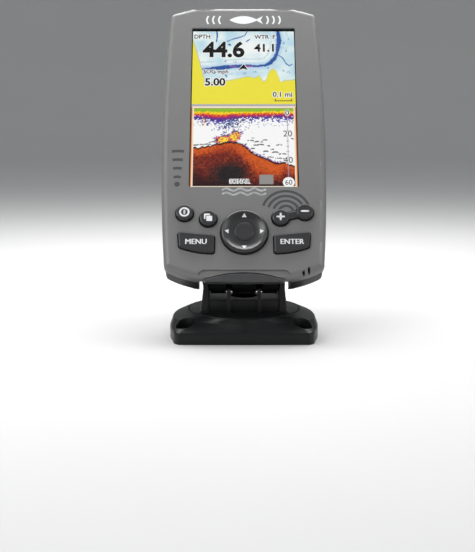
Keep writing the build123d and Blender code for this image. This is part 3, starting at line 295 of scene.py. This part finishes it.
class Drawing:
    """Flat shapes gathered into one mesh on the face plane, a material for each ink.

    An ink is named by its place in the list; rise is a layer's height over the first one.
    """

    def __init__(self, name, body, inks, w=0.0, over=None, slot=None):
        self.name, self.body, self.inks = name, body, inks
        self.w, self.over, self.slot = w, over, slot
        self.points, self.faces, self.looks = [], [], []

    def polygon(self, points, ink=0, rise=0.0):
        base = len(self.points)
        self.points += [(u, v, self.w + rise) for u, v in points]
        self.faces.append(list(range(base, base + len(points))))
        self.looks.append(ink)

    def strip(self, points, width, ink=0, rise=0.0):
        """A round-ended line of that width through the points."""
        pts = [Vector(p) for p in points]
        for a, b in zip(pts, pts[1:]):
            along = (b - a).normalized()
            side = Vector((-along.y, along.x)) * (width / 2)
            self.polygon([a + side, a - side, b - side, b + side], ink, rise)
            self.disc(a, width / 2, ink, rise, 8)
        self.disc(pts[-1], width / 2, ink, rise, 8)

    def disc(self, centre, radius, ink=0, rise=0.0, steps=24):
        self.polygon(arc(centre, radius, 0, 360, steps)[:-1], ink, rise)

    def ring(self, centre, radius, width, start=0, end=360, ink=0, rise=0.0, steps=32):
        outer = arc(centre, radius + width / 2, start, end, steps)
        inner = arc(centre, radius - width / 2, start, end, steps)
        for i in range(steps):
            self.polygon([outer[i], inner[i], inner[i + 1], outer[i + 1]], ink, rise)

    def text(self, words, centre, height, ink=0, rise=0.0, bold=0.0, stretch=1.0):
        """Words centred on a point, capitals that high."""
        curve = bpy.data.curves.new("words", "FONT")
        curve.body = words
        curve.align_x, curve.align_y = "CENTER", "CENTER"
        curve.offset = bold
        curve.resolution_u = 4
        words_object = bpy.data.objects.new("words", curve)
        bpy.context.scene.collection.objects.link(words_object)
        bpy.context.view_layer.update()
        mesh = bpy.data.meshes.new_from_object(words_object)
        bpy.data.objects.remove(words_object)
        spots = np.array([v.co[:2] for v in mesh.vertices])
        low, high = spots.min(0), spots.max(0)
        scale = height / CAP_HEIGHT
        spots = (spots - (low + high) / 2) * scale * np.array([stretch, 1.0])
        base = len(self.points)
        self.points += [(centre[0] + x, centre[1] + y, self.w + rise) for x, y in spots]
        for polygon in mesh.polygons:
            self.faces.append([base + i for i in polygon.vertices])
            self.looks.append(ink)
        bpy.data.meshes.remove(mesh)

    def done(self):
        """The drawing as an object that rides on its body, laid on a node if it has one."""
        mesh = bpy.data.meshes.new(self.name)
        mesh.from_pydata([on_face(*p) for p in self.points], [], self.faces)
        for ink in self.inks:
            mesh.materials.append(M[ink])
        mesh.polygons.foreach_set("material_index", self.looks)
        if self.over:
            self.lay_on(mesh)
        work = bmesh.new()
        work.from_mesh(mesh)
        for face in work.faces:
            if face.normal.dot(NORMAL) < 0:
                face.normal_flip()
        work.to_mesh(mesh)
        work.free()
        piece = bpy.data.objects.new(self.name, mesh)
        bpy.context.scene.collection.objects.link(piece)
        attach(piece, self.body)
        return piece

    def lay_on(self, mesh):
        """Moves each point along the face's normal onto the node under it."""
        under = nodes[self.over].data
        tree = BVHTree.FromPolygons([v.co for v in under.vertices],
                                    [p.vertices for p in under.polygons])
        for vertex, (_, _, height) in zip(mesh.vertices, self.points):
            hit = tree.ray_cast(vertex.co + NORMAL * (RAY_START * MM), -NORMAL)[0]
            if hit is not None:
                vertex.co = hit + NORMAL * ((INK_LIFT + height - self.w) * MM)


def arc(centre, radius, start, end, steps):
    """Points round a circle, both ends included."""
    out = []
    for i in range(steps + 1):
        a = math.radians(start + (end - start) * i / steps)
        out.append((centre[0] + radius * math.cos(a), centre[1] + radius * math.sin(a)))
    return out


def rounded(low, high, radius, steps=6):
    """Corner points of a rounded rectangle."""
    (x0, y0), (x1, y1) = low, high
    out = []
    for cx, cy, start in ((x1 - radius, y1 - radius, 0), (x0 + radius, y1 - radius, 90),
                          (x0 + radius, y0 + radius, 180), (x1 - radius, y0 + radius, 270)):
        out += arc((cx, cy), radius, start, start + 90, steps)
    return out


# ------------------------------------------------------------------ key legends
POWER_KEY, PAGES_KEY = (-29.1, -15.4), (-17.5, -18.4)
ZOOM_IN, ZOOM_OUT = (17.8, -17.9), (29.7, -14.9)
PAD = (0.1, -25.6)
SOFT_KEYS = (("menu_key", "MENU", (-23.2, -31.0)), ("enter_key", "ENTER", (23.2, -31.0)))
STROKE = 0.95
ZOOM_REACH = 1.6
ARROW_TIP, ARROW_HEEL, ARROW_HALF = 9.5, 7.6, 1.2
SOFT_KEY_CAPS = 2.75
DOUBLE_STRIKE = 0.11  # words are struck twice, this far either side, to embolden them
LAYER = 0.012

power = Drawing("power_legend", "power_key", ["ink"], over="power_key")
power.ring(POWER_KEY, 2.1, STROKE)
power.strip([(POWER_KEY[0], POWER_KEY[1] - 0.55), (POWER_KEY[0], POWER_KEY[1] + 0.75)], 1.0)
power.done()

pages = Drawing("pages_legend", "pages_key", ["ink", "key"], over="pages_key")
px, py = PAGES_KEY
pages.polygon(rounded((px - 2.0, py - 0.8), (px + 0.9, py + 2.1), 0.3), 0)
pages.polygon(rounded((px - 1.25, py - 2.25), (px + 2.2, py + 1.2), 0.35), 1, LAYER)
pages.polygon(rounded((px - 0.85, py - 1.95), (px + 2.0, py + 0.9), 0.3), 0, 2 * LAYER)
pages.done()

zoom = Drawing("zoom_legends", "zoom_rocker", ["ink"], over="zoom_rocker")
for (zx, zy), has_upright in ((ZOOM_IN, True), (ZOOM_OUT, False)):
    zoom.strip([(zx - ZOOM_REACH, zy), (zx + ZOOM_REACH, zy)], STROKE)
    if has_upright:
        zoom.strip([(zx, zy - ZOOM_REACH), (zx, zy + ZOOM_REACH)], STROKE)
zoom.done()

arrows = Drawing("arrow_legends", "arrow_pad", ["ink"], over="arrow_pad")
for turn in (0, 90, 180, 270):
    c, s = math.cos(math.radians(turn)), math.sin(math.radians(turn))
    corners = [(ARROW_TIP, 0), (ARROW_HEEL, ARROW_HALF), (ARROW_HEEL, -ARROW_HALF)]
    arrows.polygon([(PAD[0] + x * c - y * s, PAD[1] + x * s + y * c) for x, y in corners])
arrows.done()

for key, words, middle in SOFT_KEYS:
    legend = Drawing(words.lower() + "_legend", key, ["ink"], over=key)
    for shift in (-DOUBLE_STRIKE, DOUBLE_STRIKE):
        legend.text(words, (middle[0] + shift, middle[1]), SOFT_KEY_CAPS, rise=shift * 0.02,
                    stretch=0.98)
    legend.done()

# ------------------------------------------------------------------ generic marks on the case
FISH_MIDDLE = (0.0, 100.6)
FISH_LONG, FISH_HALF = 15.0, 2.6
ECHO_RADIUS = 4.2

emblem = Drawing("fish_emblem", "unit", ["ink"], over="front_bezel")
ex, ey = FISH_MIDDLE
body_top = [(ex + FISH_LONG * (t - 0.5), ey + FISH_HALF * math.sin(math.pi * t) ** 0.8)
            for t in [i / 20 for i in range(21)]]
body_low = [(x, 2 * ey - y) for x, y in reversed(body_top[1:-1])]
emblem.polygon(body_top + body_low)
emblem.polygon([(ex + 6.2, ey), (ex + 10.4, ey + FISH_HALF), (ex + 9.2, ey), (ex + 10.4, ey - FISH_HALF)])
for side in (-1, 1):
    for reach in (13.2, 16.4, 19.6):
        start, end = (-38, 38) if side > 0 else (142, 218)
        emblem.ring((ex + side * (reach - ECHO_RADIUS), ey), ECHO_RADIUS, 0.9, start, end, steps=12)
emblem.done()

PING_FOOT, PING_FIRST, PING_STEP = (-33.2, 1.0), 4.2, 4.9
ping = Drawing("side_mark", "unit", ["ink_dark"], over="front_bezel")
for step in range(4):
    reach, half_width = PING_FIRST + PING_STEP * step, 1.7 + 0.45 * step
    lean = math.degrees(math.asin(half_width / reach))
    ping.ring(PING_FOOT, reach, 1.5, 90 - lean, 90 + lean, steps=16)
ping.disc(PING_FOOT, 1.4)
ping.done()

WAVE_LONG, WAVE_UP, WAVE_HEIGHT = 21.0, -4.3, 0.6
wave = Drawing("wave_mark", "unit", ["ink"], over="front_bezel")
for row in range(2):
    crest = [(WAVE_LONG * (i / 60 - 0.5),
              WAVE_UP + 2.3 * row + WAVE_HEIGHT * math.sin(i / 60 * 6 * math.pi)) for i in range(61)]
    wave.strip(crest, STROKE)
wave.done()

RIPPLE_MIDDLE, RIPPLE_RADII = (20.6, -14.6), (3.6, 6.3, 9.0, 11.7)
ripples = Drawing("ripple_mark", "unit", ["ink_dark"], over="front_bezel")
for reach in RIPPLE_RADII:
    ripples.ring(RIPPLE_MIDDLE, reach, 1.3, 18, 162, steps=32)
ripples.done()

# ------------------------------------------------------------------ display picture
CELL = 0.28
SPLIT = 48.6  # where the chart meets the sonar picture
SCALE_U = 22.4  # the sonar's depth scale
PICTURE_W = -2.76
rng = np.random.default_rng(11)


def blurred_noise(shape, cells):
    """Smooth noise from 0 to 1: a coarse random grid, interpolated."""
    grid = rng.random((int(shape[0] / cells[0]) + 3, int(shape[1] / cells[1]) + 3))
    y = np.linspace(0, grid.shape[0] - 2.001, shape[0])
    x = np.linspace(0, grid.shape[1] - 2.001, shape[1])
    yi, xi = y.astype(int), x.astype(int)
    fy, fx = y - yi, x - xi
    fy, fx = fy * fy * (3 - 2 * fy), fx * fx * (3 - 2 * fx)
    fy, fx = fy[:, None], fx[None, :]
    a, b = grid[yi][:, xi], grid[yi][:, xi + 1]
    c, d = grid[yi + 1][:, xi], grid[yi + 1][:, xi + 1]
    return (a * (1 - fx) + b * fx) * (1 - fy) + (c * (1 - fx) + d * fx) * fy


def curve_height(u, points):
    """Height of a drawn line over u."""
    xs, ys = zip(*points)
    return np.interp(u, xs, ys)


def line_distance(u, v, points):
    """Distance to a polyline, and the half width interpolated along it."""
    best = np.full(u.shape, 1e9)
    width = np.zeros(u.shape)
    for (x0, y0, w0), (x1, y1, w1) in zip(points, points[1:]):
        dx, dy = x1 - x0, y1 - y0
        t = np.clip(((u - x0) * dx + (v - y0) * dy) / (dx * dx + dy * dy), 0, 1)
        d = np.hypot(u - x0 - t * dx, v - y0 - t * dy)
        nearer = d < best
        best = np.where(nearer, d, best)
        width = np.where(nearer, w0 + (w1 - w0) * t, width)
    return best, width


def paint(picture, mask, colour):
    """Lays a colour over the picture by a mask from 0 to 1."""
    mask = np.clip(mask, 0, 1)[..., None]
    picture[:] = picture * (1 - mask) + np.array(colour[:3]) * mask


across, upward = int(DISPLAY[0] / CELL) + 1, int(DISPLAY[1] / CELL) + 1
us = np.linspace(-DISPLAY[0] / 2, DISPLAY[0] / 2, across)
vs = np.linspace(0, DISPLAY[1], upward)
U, V = np.meshgrid(us, vs)
coarse, fine = blurred_noise(U.shape, (14, 18)), blurred_noise(U.shape, (3, 3))
streak = blurred_noise(U.shape, (1.2, 5))


def blocks(size):
    """A random value for each block of cells."""
    grid = rng.random((upward // size + 1, across // size + 1))
    return np.kron(grid, np.ones((size, size)))[:upward, :across]


speckle, speckle2 = blocks(2), blocks(2)

# Lines of the chart: across, up, and half width where the line has one
CHANNEL = [(-23, 70.9, 0.15), (-19, 71.1, 0.5), (-15.5, 71.3, 1.1), (-10, 72.0, 1.15),
           (-4, 72.7, 0.95), (2, 73.0, 0.8), (8, 72.8, 0.55), (11.5, 73.4, 0.65), (14.3, 75.0, 1.0),
           (16.6, 78.0, 1.0), (17.8, 81.5, 0.6), (18.4, 85.0, 1.0), (18.9, 88.5, 1.3), (18.5, 95.2, 0.9)]
CREEKS = [
    [(-14.2, 95.1, 0.4), (-14.0, 91.0, 0.35), (-14.4, 88.2, 0.25)],
    [(2.0, 95.1, 0.25), (0.6, 92.3, 0.3), (-2.4, 91.0, 0.3), (-5.0, 90.3, 0.28), (-8.6, 88.6, 0.25)],
    [(3.4, 90.0, 0.2), (1.6, 88.4, 0.4)],
    [(-13.0, 86.1, 0.2), (-10.6, 86.9, 0.4)],
    [(-7.6, 86.6, 0.5), (-6.9, 86.0, 0.3)],
    [(18.0, 80.0, 0.25), (20.4, 78.3, 0.25), (21.6, 76.2, 0.28), (22.4, 74.4, 0.25), (24.2, 73.0, 0.3),
     (25.6, 74.0, 0.25)],
    [(-9.5, 67.4, 0.25), (-8.8, 66.0, 0.3)],
]
SHORE = [(-27, 60), (-21.0, 61.5), (-18, 62.4), (-13, 63.1), (-8, 63.8), (-4, 64.6), (0, 65.6), (3, 66.4),
         (5.4, 65.2), (7.9, 66.7), (9.4, 64.6), (10.4, 62.9), (11.6, 64.0), (12.8, 67.6), (14.2, 70.2),
         (15.6, 71.0), (17.2, 69.6), (18.5, 65.4), (19.4, 62.7), (21.4, 63.6), (27, 64.4)]
CAPE_TOP = 90.0
CAPE = [(58.0, -20.2), (66.0, -21.0), (72.0, -22.4), (79.0, -24.2), (86.0, -26.0), (CAPE_TOP, -27.2)]


def paint_chart(chart):
    """Pale water with depth bands, a channel, creeks, a yellow shore, and a scale bar."""
    paint(chart, np.ones(U.shape), srgb(214, 236, 240))
    paint(chart, (coarse - 0.45) * 3, srgb(236, 247, 246))
    paint(chart, (0.42 - coarse) * 3, srgb(190, 222, 236))
    paint(chart, 1 - np.hypot((U - 5) / 15, (V - 85) / 11), srgb(246, 250, 249))
    far, half = line_distance(U, V, CHANNEL)
    far = far + (fine - 0.5) * 0.5
    paint(chart, (3.2 - far) * 0.5, srgb(186, 214, 236))
    paint(chart, (half + 0.12 - far) * 6, srgb(38, 84, 158))
    for contour in (4.0, 4.6):
        paint(chart, (0.22 - abs(far - contour)) * 4 * (coarse > 0.4), srgb(150, 190, 205))
    for creek in CREEKS:
        near, width = line_distance(U, V, creek)
        paint(chart, (width + 0.1 - near - (fine - 0.5) * 0.2) * 6, srgb(46, 92, 166))
    shore = curve_height(U, SHORE) + (fine - 0.5) * 0.5
    cape = curve_height(V, CAPE) + (fine - 0.5) * 0.3
    land = np.maximum((shore - V) * 3, np.where(V < CAPE_TOP, (cape - U) * 3, -9))
    paint(chart, 1.4 - abs(land) * 0.9, srgb(196, 202, 150))
    paint(chart, land, srgb(241, 228, 62))
    for along, tone in ((3.2, (196, 92, 150)), (-5.4, (160, 86, 160))):
        paint(chart, (1 - np.hypot((U - along) / 2.6, (V - 72.6) / 0.45)) * 2, srgb(*tone))
    bar_low, bar_high, bar_ink = 16.4, 24.8, srgb(92, 70, 40)
    paint(chart, (0.35 - abs(V - 51.3)) * 6 * ((U > bar_low - 0.2) & (U < bar_high + 0.2)), bar_ink)
    bar_ends = (abs(U - bar_low) < 0.3) | (abs(U - bar_high) < 0.3)
    paint(chart, (0.9 - abs(V - 51.7)) * 3 * bar_ends, bar_ink)


SURFACE = 46.9
CLUTTER = (  # depth under the surface, share covered, colour
    (7.4, 0.42, (86, 80, 178)), (6.0, 0.8, (72, 50, 156)), (4.9, 1, (126, 36, 120)),
    (4.1, 1, (206, 40, 62)), (3.4, 1, (238, 112, 26)), (2.8, 1, (248, 214, 30)), (1.9, 1, (140, 190, 40)),
)
CREST = [(-27, 22.9), (-23, 23.1), (-19.5, 23.7), (-16.5, 24.2), (-14, 25.2), (-11, 25.8), (-7, 26.4),
         (-4, 26.2), (-1.8, 25.6), (0.4, 23.8), (3, 21.4), (5, 19.6), (7, 18.4), (9.5, 17.6), (12, 16.2),
         (14.5, 14.9), (17, 14.0), (18.6, 14.6), (20.2, 14.9), (22.5, 13.6), (27, 12.2)]
SHOAL_BANDS = (  # how far out, share covered, colour
    (1.3, 0.7, (90, 70, 170)), (1.1, 1, (196, 50, 100)), (0.92, 0.8, (240, 140, 36)),
    (0.75, 0.62, (250, 226, 60)),
)
DASHES = [(3.4, 27.6, 1.7), (7.6, 27.0, 2.0), (10.6, 27.9, 1.2), (8.6, 25.2, 1.6), (6.2, 24.9, 1.2),
          (18.0, 25.0, 1.6), (16.0, 20.8, 1.8), (11.2, 21.3, 1.4), (19.6, 19.8, 2.1), (24.8, 28.6, 1.0),
          (9.6, 19.5, 1.0), (-15.8, 26.8, 2.0), (-18.4, 25.5, 1.8), (-22.0, 25.2, 1.6), (-13.8, 27.8, 1.2),
          (-24.6, 24.9, 1.0), (1.6, 25.4, 1.2), (4.6, 22.9, 1.2), (13.6, 17.9, 1.4), (17.6, 17.3, 1.6),
          (21.0, 17.0, 1.2), (14.4, 22.4, 0.9), (12.4, 24.4, 0.8), (5.0, 29.0, 0.9)]
BLOBS = ((-20.6, 40.0, (240, 200, 40)), (-20.0, 38.4, (230, 120, 40)), (-19.4, 39.0, (40, 40, 110)),
         (-18.6, 36.8, (60, 50, 150)), (-20.9, 36.9, (190, 150, 60)))


def paint_surface(water):
    """Bands of surface clutter, and the specks that scatter down from them in a cone."""
    depth = SURFACE - V
    dip = 1.6 * np.exp(-((U + 13) / 6.5) ** 2) + 0.5 * np.exp(-((U + 1) / 9) ** 2) + 0.4
    ragged = (speckle - 0.5) * 2.6 + (streak - 0.5) * 1.2
    middle = -8.5 + 0.18 * (depth - 6)
    cone = np.exp(-((U - middle) / (10.5 - depth * 0.36).clip(3)) ** 2)
    scatter = cone * (18.5 - depth).clip(0) / 10
    paint(water, (speckle2 < scatter * 0.50) & (depth > 3), srgb(86, 78, 170))
    paint(water, (speckle2 > 1 - scatter * 0.16) & (depth > 3), srgb(70, 60, 74))
    paint(water, (abs(speckle2 - 0.6) < scatter * 0.07) & (depth > 3), srgb(120, 176, 186))
    paint(water, (speckle2 < 0.16) & (depth < 9 + 3 * streak), srgb(176, 182, 204))
    for reach, cover, colour in CLUTTER:
        inside = (depth + ragged * (0.12 + 0.115 * reach)) < reach + dip * (reach / 6)
        paint(water, inside * (speckle2 < cover), srgb(*colour))
    paint(water, (0.28 - abs(depth - 0.1)) * 8, srgb(60, 84, 40))


def paint_echoes(water, below):
    """Fringe down the slope, two shoals on the crest with arcs over them, dashes and blobs."""
    slope = (U > -1) & (U < 19)
    paint(water, ((below > -1.5) & slope & (speckle < 0.55)) * 0.9, srgb(78, 78, 176))
    paint(water, ((below > -1.0) & slope & (streak > 0.5)) * 0.9, srgb(180, 60, 110))
    left_shoal = np.hypot((U + 10.4) / 3.6, (V - 27.6) / 2.4)
    right_shoal = np.hypot((U + 5.0 - (V - 29) * 0.35) / 2.6, (V - 29.4) / 3.0)
    shoal = np.minimum(left_shoal, right_shoal) + (streak - 0.5) * 0.55 + (speckle - 0.5) * 0.45
    for reach, cover, tone in SHOAL_BANDS:
        paint(water, (shoal < reach) * (below < 1) * (speckle2 < cover), srgb(*tone))
    for along, up, reach, bend in ((-4.4, 33.0, 1.9, 0.275), (-9.4, 30.6, 1.5, 0.25)):
        arch = up - bend * (U - along) ** 2
        paint(water, (0.36 - abs(V - arch)) * 5 * (abs(U - along) < reach), srgb(28, 22, 30))
    for along, up, reach in DASHES:
        arch = up - 0.10 * (U - along) ** 2
        line = (0.42 - abs(V - arch)) * 6 * (abs(U - along) < reach)
        paint(water, line * (speckle > 0.2), srgb(24, 22, 34))
    for along, up, tone in BLOBS:
        paint(water, (0.7 - np.hypot(U - along, V - up)) * 5, srgb(*tone))


def bottom_return(below):
    """The bottom's speckled return, from orange at its crest to near black."""
    hard = np.clip(below / (6 + 9 * np.exp(-((U - 8) / 10) ** 2)), 0, 1)
    deep = np.clip(1 - np.hypot((U + 7) / 15, (V - 8) / 11), 0, 1)
    left_low = np.clip((9 - V) / 9 + (-12 - U) / 24, 0, 1)
    rough = (speckle - 0.5) * 0.55 + (fine - 0.5) * 0.25
    rock = np.zeros(U.shape + (3,))
    paint(rock, np.ones(U.shape), srgb(214, 92, 20))
    paint(rock, hard * 0.9 + (coarse - 0.5) * 0.5 + rough, srgb(168, 46, 14))
    paint(rock, (hard - 0.45) * 1.5 + rough, srgb(92, 22, 16))
    paint(rock, left_low * 1.5 + rough * 1.2, srgb(60, 8, 12))
    paint(rock, deep * 2.2 + rough - 0.25, srgb(22, 14, 16))
    paint(rock, (5.5 - V) * 0.3 + rough * 1.6, srgb(26, 8, 12))
    return rock


def paint_scale_and_frame(water):
    """The grey box, the depth scale's line and ticks, and the orange frame round the picture."""
    paint(water, ((U > 7.6) & (U < 14.8) & (V > 2.4) & (V < 7.8)) * 1.0, srgb(146, 144, 142))
    paint(water, (0.25 - abs(U - SCALE_U)) * 6 * (V < 42.5), srgb(150, 152, 170))
    for tick in np.arange(5.5, 42, 3.1):
        paint(water, (0.2 - abs(V - tick)) * 6 * (abs(U - SCALE_U) < 0.9), srgb(130, 132, 150))
    frame_in = np.minimum.reduce([DISPLAY[0] / 2 - abs(U), V, SPLIT - 0.5 - V])
    paint(water, (1.35 - frame_in) * 6, srgb(255, 232, 206))
    paint(water, (0.62 - frame_in) * 6 * (V < SPLIT - 1), srgb(206, 112, 30))


def sonar_picture():
    """White water with clutter and echoes over the bottom's return."""
    water = np.zeros(U.shape + (3,))
    paint(water, np.ones(U.shape), srgb(252, 252, 252))
    paint_surface(water)
    crest = curve_height(U, CREST) + (blurred_noise(U.shape, (400, 3)) - 0.5) * 1.0
    below = crest - V
    paint_echoes(water, below)
    water = np.where((below > 0)[..., None], bottom_return(below), water)
    paint(water, (0.36 + 0.4 * streak - abs(below)) * 6, srgb(14, 8, 12))
    paint_scale_and_frame(water)
    return water


picture = np.zeros(U.shape + (3,))
paint_chart(picture)
picture = np.where((V < SPLIT)[..., None], sonar_picture(), picture)
paint(picture, (0.75 - abs(V - SPLIT)) * 6, srgb(172, 172, 184))

grid_mesh = bpy.data.meshes.new("display_picture")
points = [on_face(u, v, PICTURE_W) for u, v in zip(U.ravel(), V.ravel())]
index = np.arange(across * upward).reshape(upward, across)
quads = np.stack([index[:-1, :-1], index[:-1, 1:], index[1:, 1:], index[1:, :-1]], -1).reshape(-1, 4)
grid_mesh.from_pydata(points, [], quads.tolist())
tint = grid_mesh.color_attributes.new("picture", "FLOAT_COLOR", "POINT")
tint.data.foreach_set("color", np.concatenate([picture, np.ones(U.shape + (1,))], -1).ravel())
M["picture"] = lit("display_picture", None, 0.95, "picture")
M["lit_black"] = lit("readout_black", srgb(0, 0, 0), 0.0)
M["lit_white"] = lit("readout_white", srgb(250, 250, 250), 0.95)
M["lit_blue"] = lit("sounding_blue", srgb(84, 110, 190), 0.9)
grid_mesh.materials.append(M["picture"])
display_picture = bpy.data.objects.new("display_picture", grid_mesh)
bpy.context.scene.collection.objects.link(display_picture)
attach(display_picture, "unit")

READOUTS = (  # words, centre, cap height, boldness, stretch
    ("44.6", (-10.6, 83.4), 9.2, 0.035, 0.97),
    ("41.1", (10.9, 84.4), 4.7, 0.03, 1.0),
    ("5.00", (-14.9, 62.9), 4.4, 0.03, 1.0),
    ("DPTH", (-22.0, 91.6), 2.5, 0.02, 0.95),
    ("WTR  F", (11.4, 91.4), 2.5, 0.02, 0.95),
    ("SOG mph", (-14.6, 69.0), 2.4, 0.02, 0.95),
    ("0.1 mi", (20.2, 55.2), 2.9, 0.02, 1.0),
    ("0", (SCALE_U, 44.0), 3.0, 0.01, 1.0),
    ("20", (SCALE_U, 31.6), 3.5, 0.0, 0.95),
    ("40", (SCALE_U, 16.2), 3.5, 0.0, 0.95),
    ("60", (SCALE_U, 3.4), 2.8, 0.0, 0.95),
    ("SONAR", (-2.0, 4.0), 2.2, 0.0, 0.95),
)
SOUNDING_HEIGHT = 1.5
SOUNDINGS = (("8", (21.4, 87.5)), ("5", (24.0, 90.2)), ("11", (20.6, 84.4)), ("7", (22.6, 82.2)),
             ("12", (-4.4, 75.6)), ("9", (12.9, 71.4)), ("14", (6.0, 69.2)), ("10", (0.6, 68.2)),
             ("6", (21.0, 70.0)), ("15", (23.6, 69.0)), ("4", (-9.6, 75.8)))
BLACK, WHITE, BLUE = 0, 1, 2
HALO = 0.25
readouts = Drawing("display_readouts", "unit", ["lit_black", "lit_white", "lit_blue"], w=PICTURE_W,
                   slot="lcd_glass")
readouts.disc((SCALE_U, 3.4), 3.0, WHITE, 0.02)
for words, middle, height, bold, stretch in READOUTS:
    readouts.text(words, middle, height, WHITE, 0.04, bold + HALO / height, stretch)
    readouts.text(words, middle, height, BLACK, 0.07, bold, stretch)
for words, middle in SOUNDINGS:
    readouts.text(words, middle, SOUNDING_HEIGHT, BLUE, 0.03)
readouts.polygon([(0.1, 74.6), (2.9, 70.2), (-0.1, 70.9), (-3.5, 69.9)], WHITE, 0.06)
readouts.polygon([(0.1, 74.0), (2.3, 70.4), (-0.1, 71.2), (-3.0, 70.1)], BLACK, 0.08)
readouts.done()

# ------------------------------------------------------------------ floor, light, camera
# A round bowl, so that no edge of the floor shows from any side
FLOOR_FLAT, FLOOR_CURVE, WALL_TOP = 1.6, 0.9, 1.6
SEGMENTS = 64
profile = [(0.4, 0.0), (0.9, 0.0), (FLOOR_FLAT, 0.0)]
profile += [(FLOOR_FLAT + FLOOR_CURVE * math.sin(t), FLOOR_CURVE - FLOOR_CURVE * math.cos(t))
            for t in [math.radians(6 * i) for i in range(1, 16)]]
profile += [(FLOOR_FLAT + FLOOR_CURVE, WALL_TOP)]
floor_points = [(0, 0, 0)]
for reach, height in profile:
    for i in range(SEGMENTS):
        a = 2 * math.pi * i / SEGMENTS
        floor_points.append((reach * math.cos(a), reach * math.sin(a), height))
floor_faces = [(0, 1 + i, 1 + (i + 1) % SEGMENTS) for i in range(SEGMENTS)]
for row in range(len(profile) - 1):
    base = 1 + row * SEGMENTS
    for i in range(SEGMENTS):
        j = (i + 1) % SEGMENTS
        floor_faces.append((base + i, base + SEGMENTS + i, base + SEGMENTS + j, base + j))
floor_mesh = bpy.data.meshes.new("floor")
floor_mesh.from_pydata(floor_points, [], floor_faces)
for face in floor_mesh.polygons:
    face.use_smooth = True
floor = bpy.data.objects.new("floor", floor_mesh)
bpy.context.scene.collection.objects.link(floor)
floor_look = Nodes("floor_pale")
floor_look.link(floor_look.mix(floor_look.noise(6, 3), srgb(198, 198, 197), srgb(203, 203, 202)),
                floor_look.bsdf.inputs["Base Color"])
floor_look.bsdf.inputs["Roughness"].default_value = 0.8
floor_mesh.materials.append(floor_look.mat)

world = bpy.data.worlds.new("studio")
world.use_nodes = True
world.node_tree.nodes["Background"].inputs["Color"].default_value = (0.9, 0.92, 0.95, 1)
world.node_tree.nodes["Background"].inputs["Strength"].default_value = 0.5
bpy.context.scene.world = world


def soft_light(name, place, aim, size, watts, colour=(1, 1, 1)):
    """A large soft box pointing at a spot."""
    data = bpy.data.lights.new(name, "AREA")
    data.shape, data.size, data.size_y = "RECTANGLE", size[0], size[1]
    data.energy, data.color = watts, colour
    lamp = bpy.data.objects.new(name, data)
    lamp.location = place
    lamp.rotation_euler = (Vector(aim) - Vector(place)).to_track_quat("-Z", "Y").to_euler()
    bpy.context.scene.collection.objects.link(lamp)


soft_light("key_light", (-0.5, -0.3, 0.5), (0, 0.03, 0.12), (0.4, 0.4), 2.7)
soft_light("fill_light", (0.75, -0.35, 0.4), (0, 0.02, 0.08), (0.5, 0.5), 2.0)
soft_light("top_light", (0.0, 0.2, 0.44), (0, 0.06, 0.14), (0.56, 0.26), 3.9)

CAMERA_PLACE, CAMERA_PITCH = (-0.0032, -0.4785, 0.11225), math.radians(80.0)
SENSOR_MM, LENS_MM = 36.0, 63.2
camera_data = bpy.data.cameras.new("camera")
camera_data.sensor_width = SENSOR_MM
camera_data.lens = LENS_MM
camera_data.clip_start = 0.01
camera = bpy.data.objects.new("camera", camera_data)
camera.location = CAMERA_PLACE
camera.rotation_euler = (CAMERA_PITCH, 0, 0)
bpy.context.scene.collection.objects.link(camera)
bpy.context.scene.camera = camera
bpy.context.scene.view_settings.view_transform = "Standard"
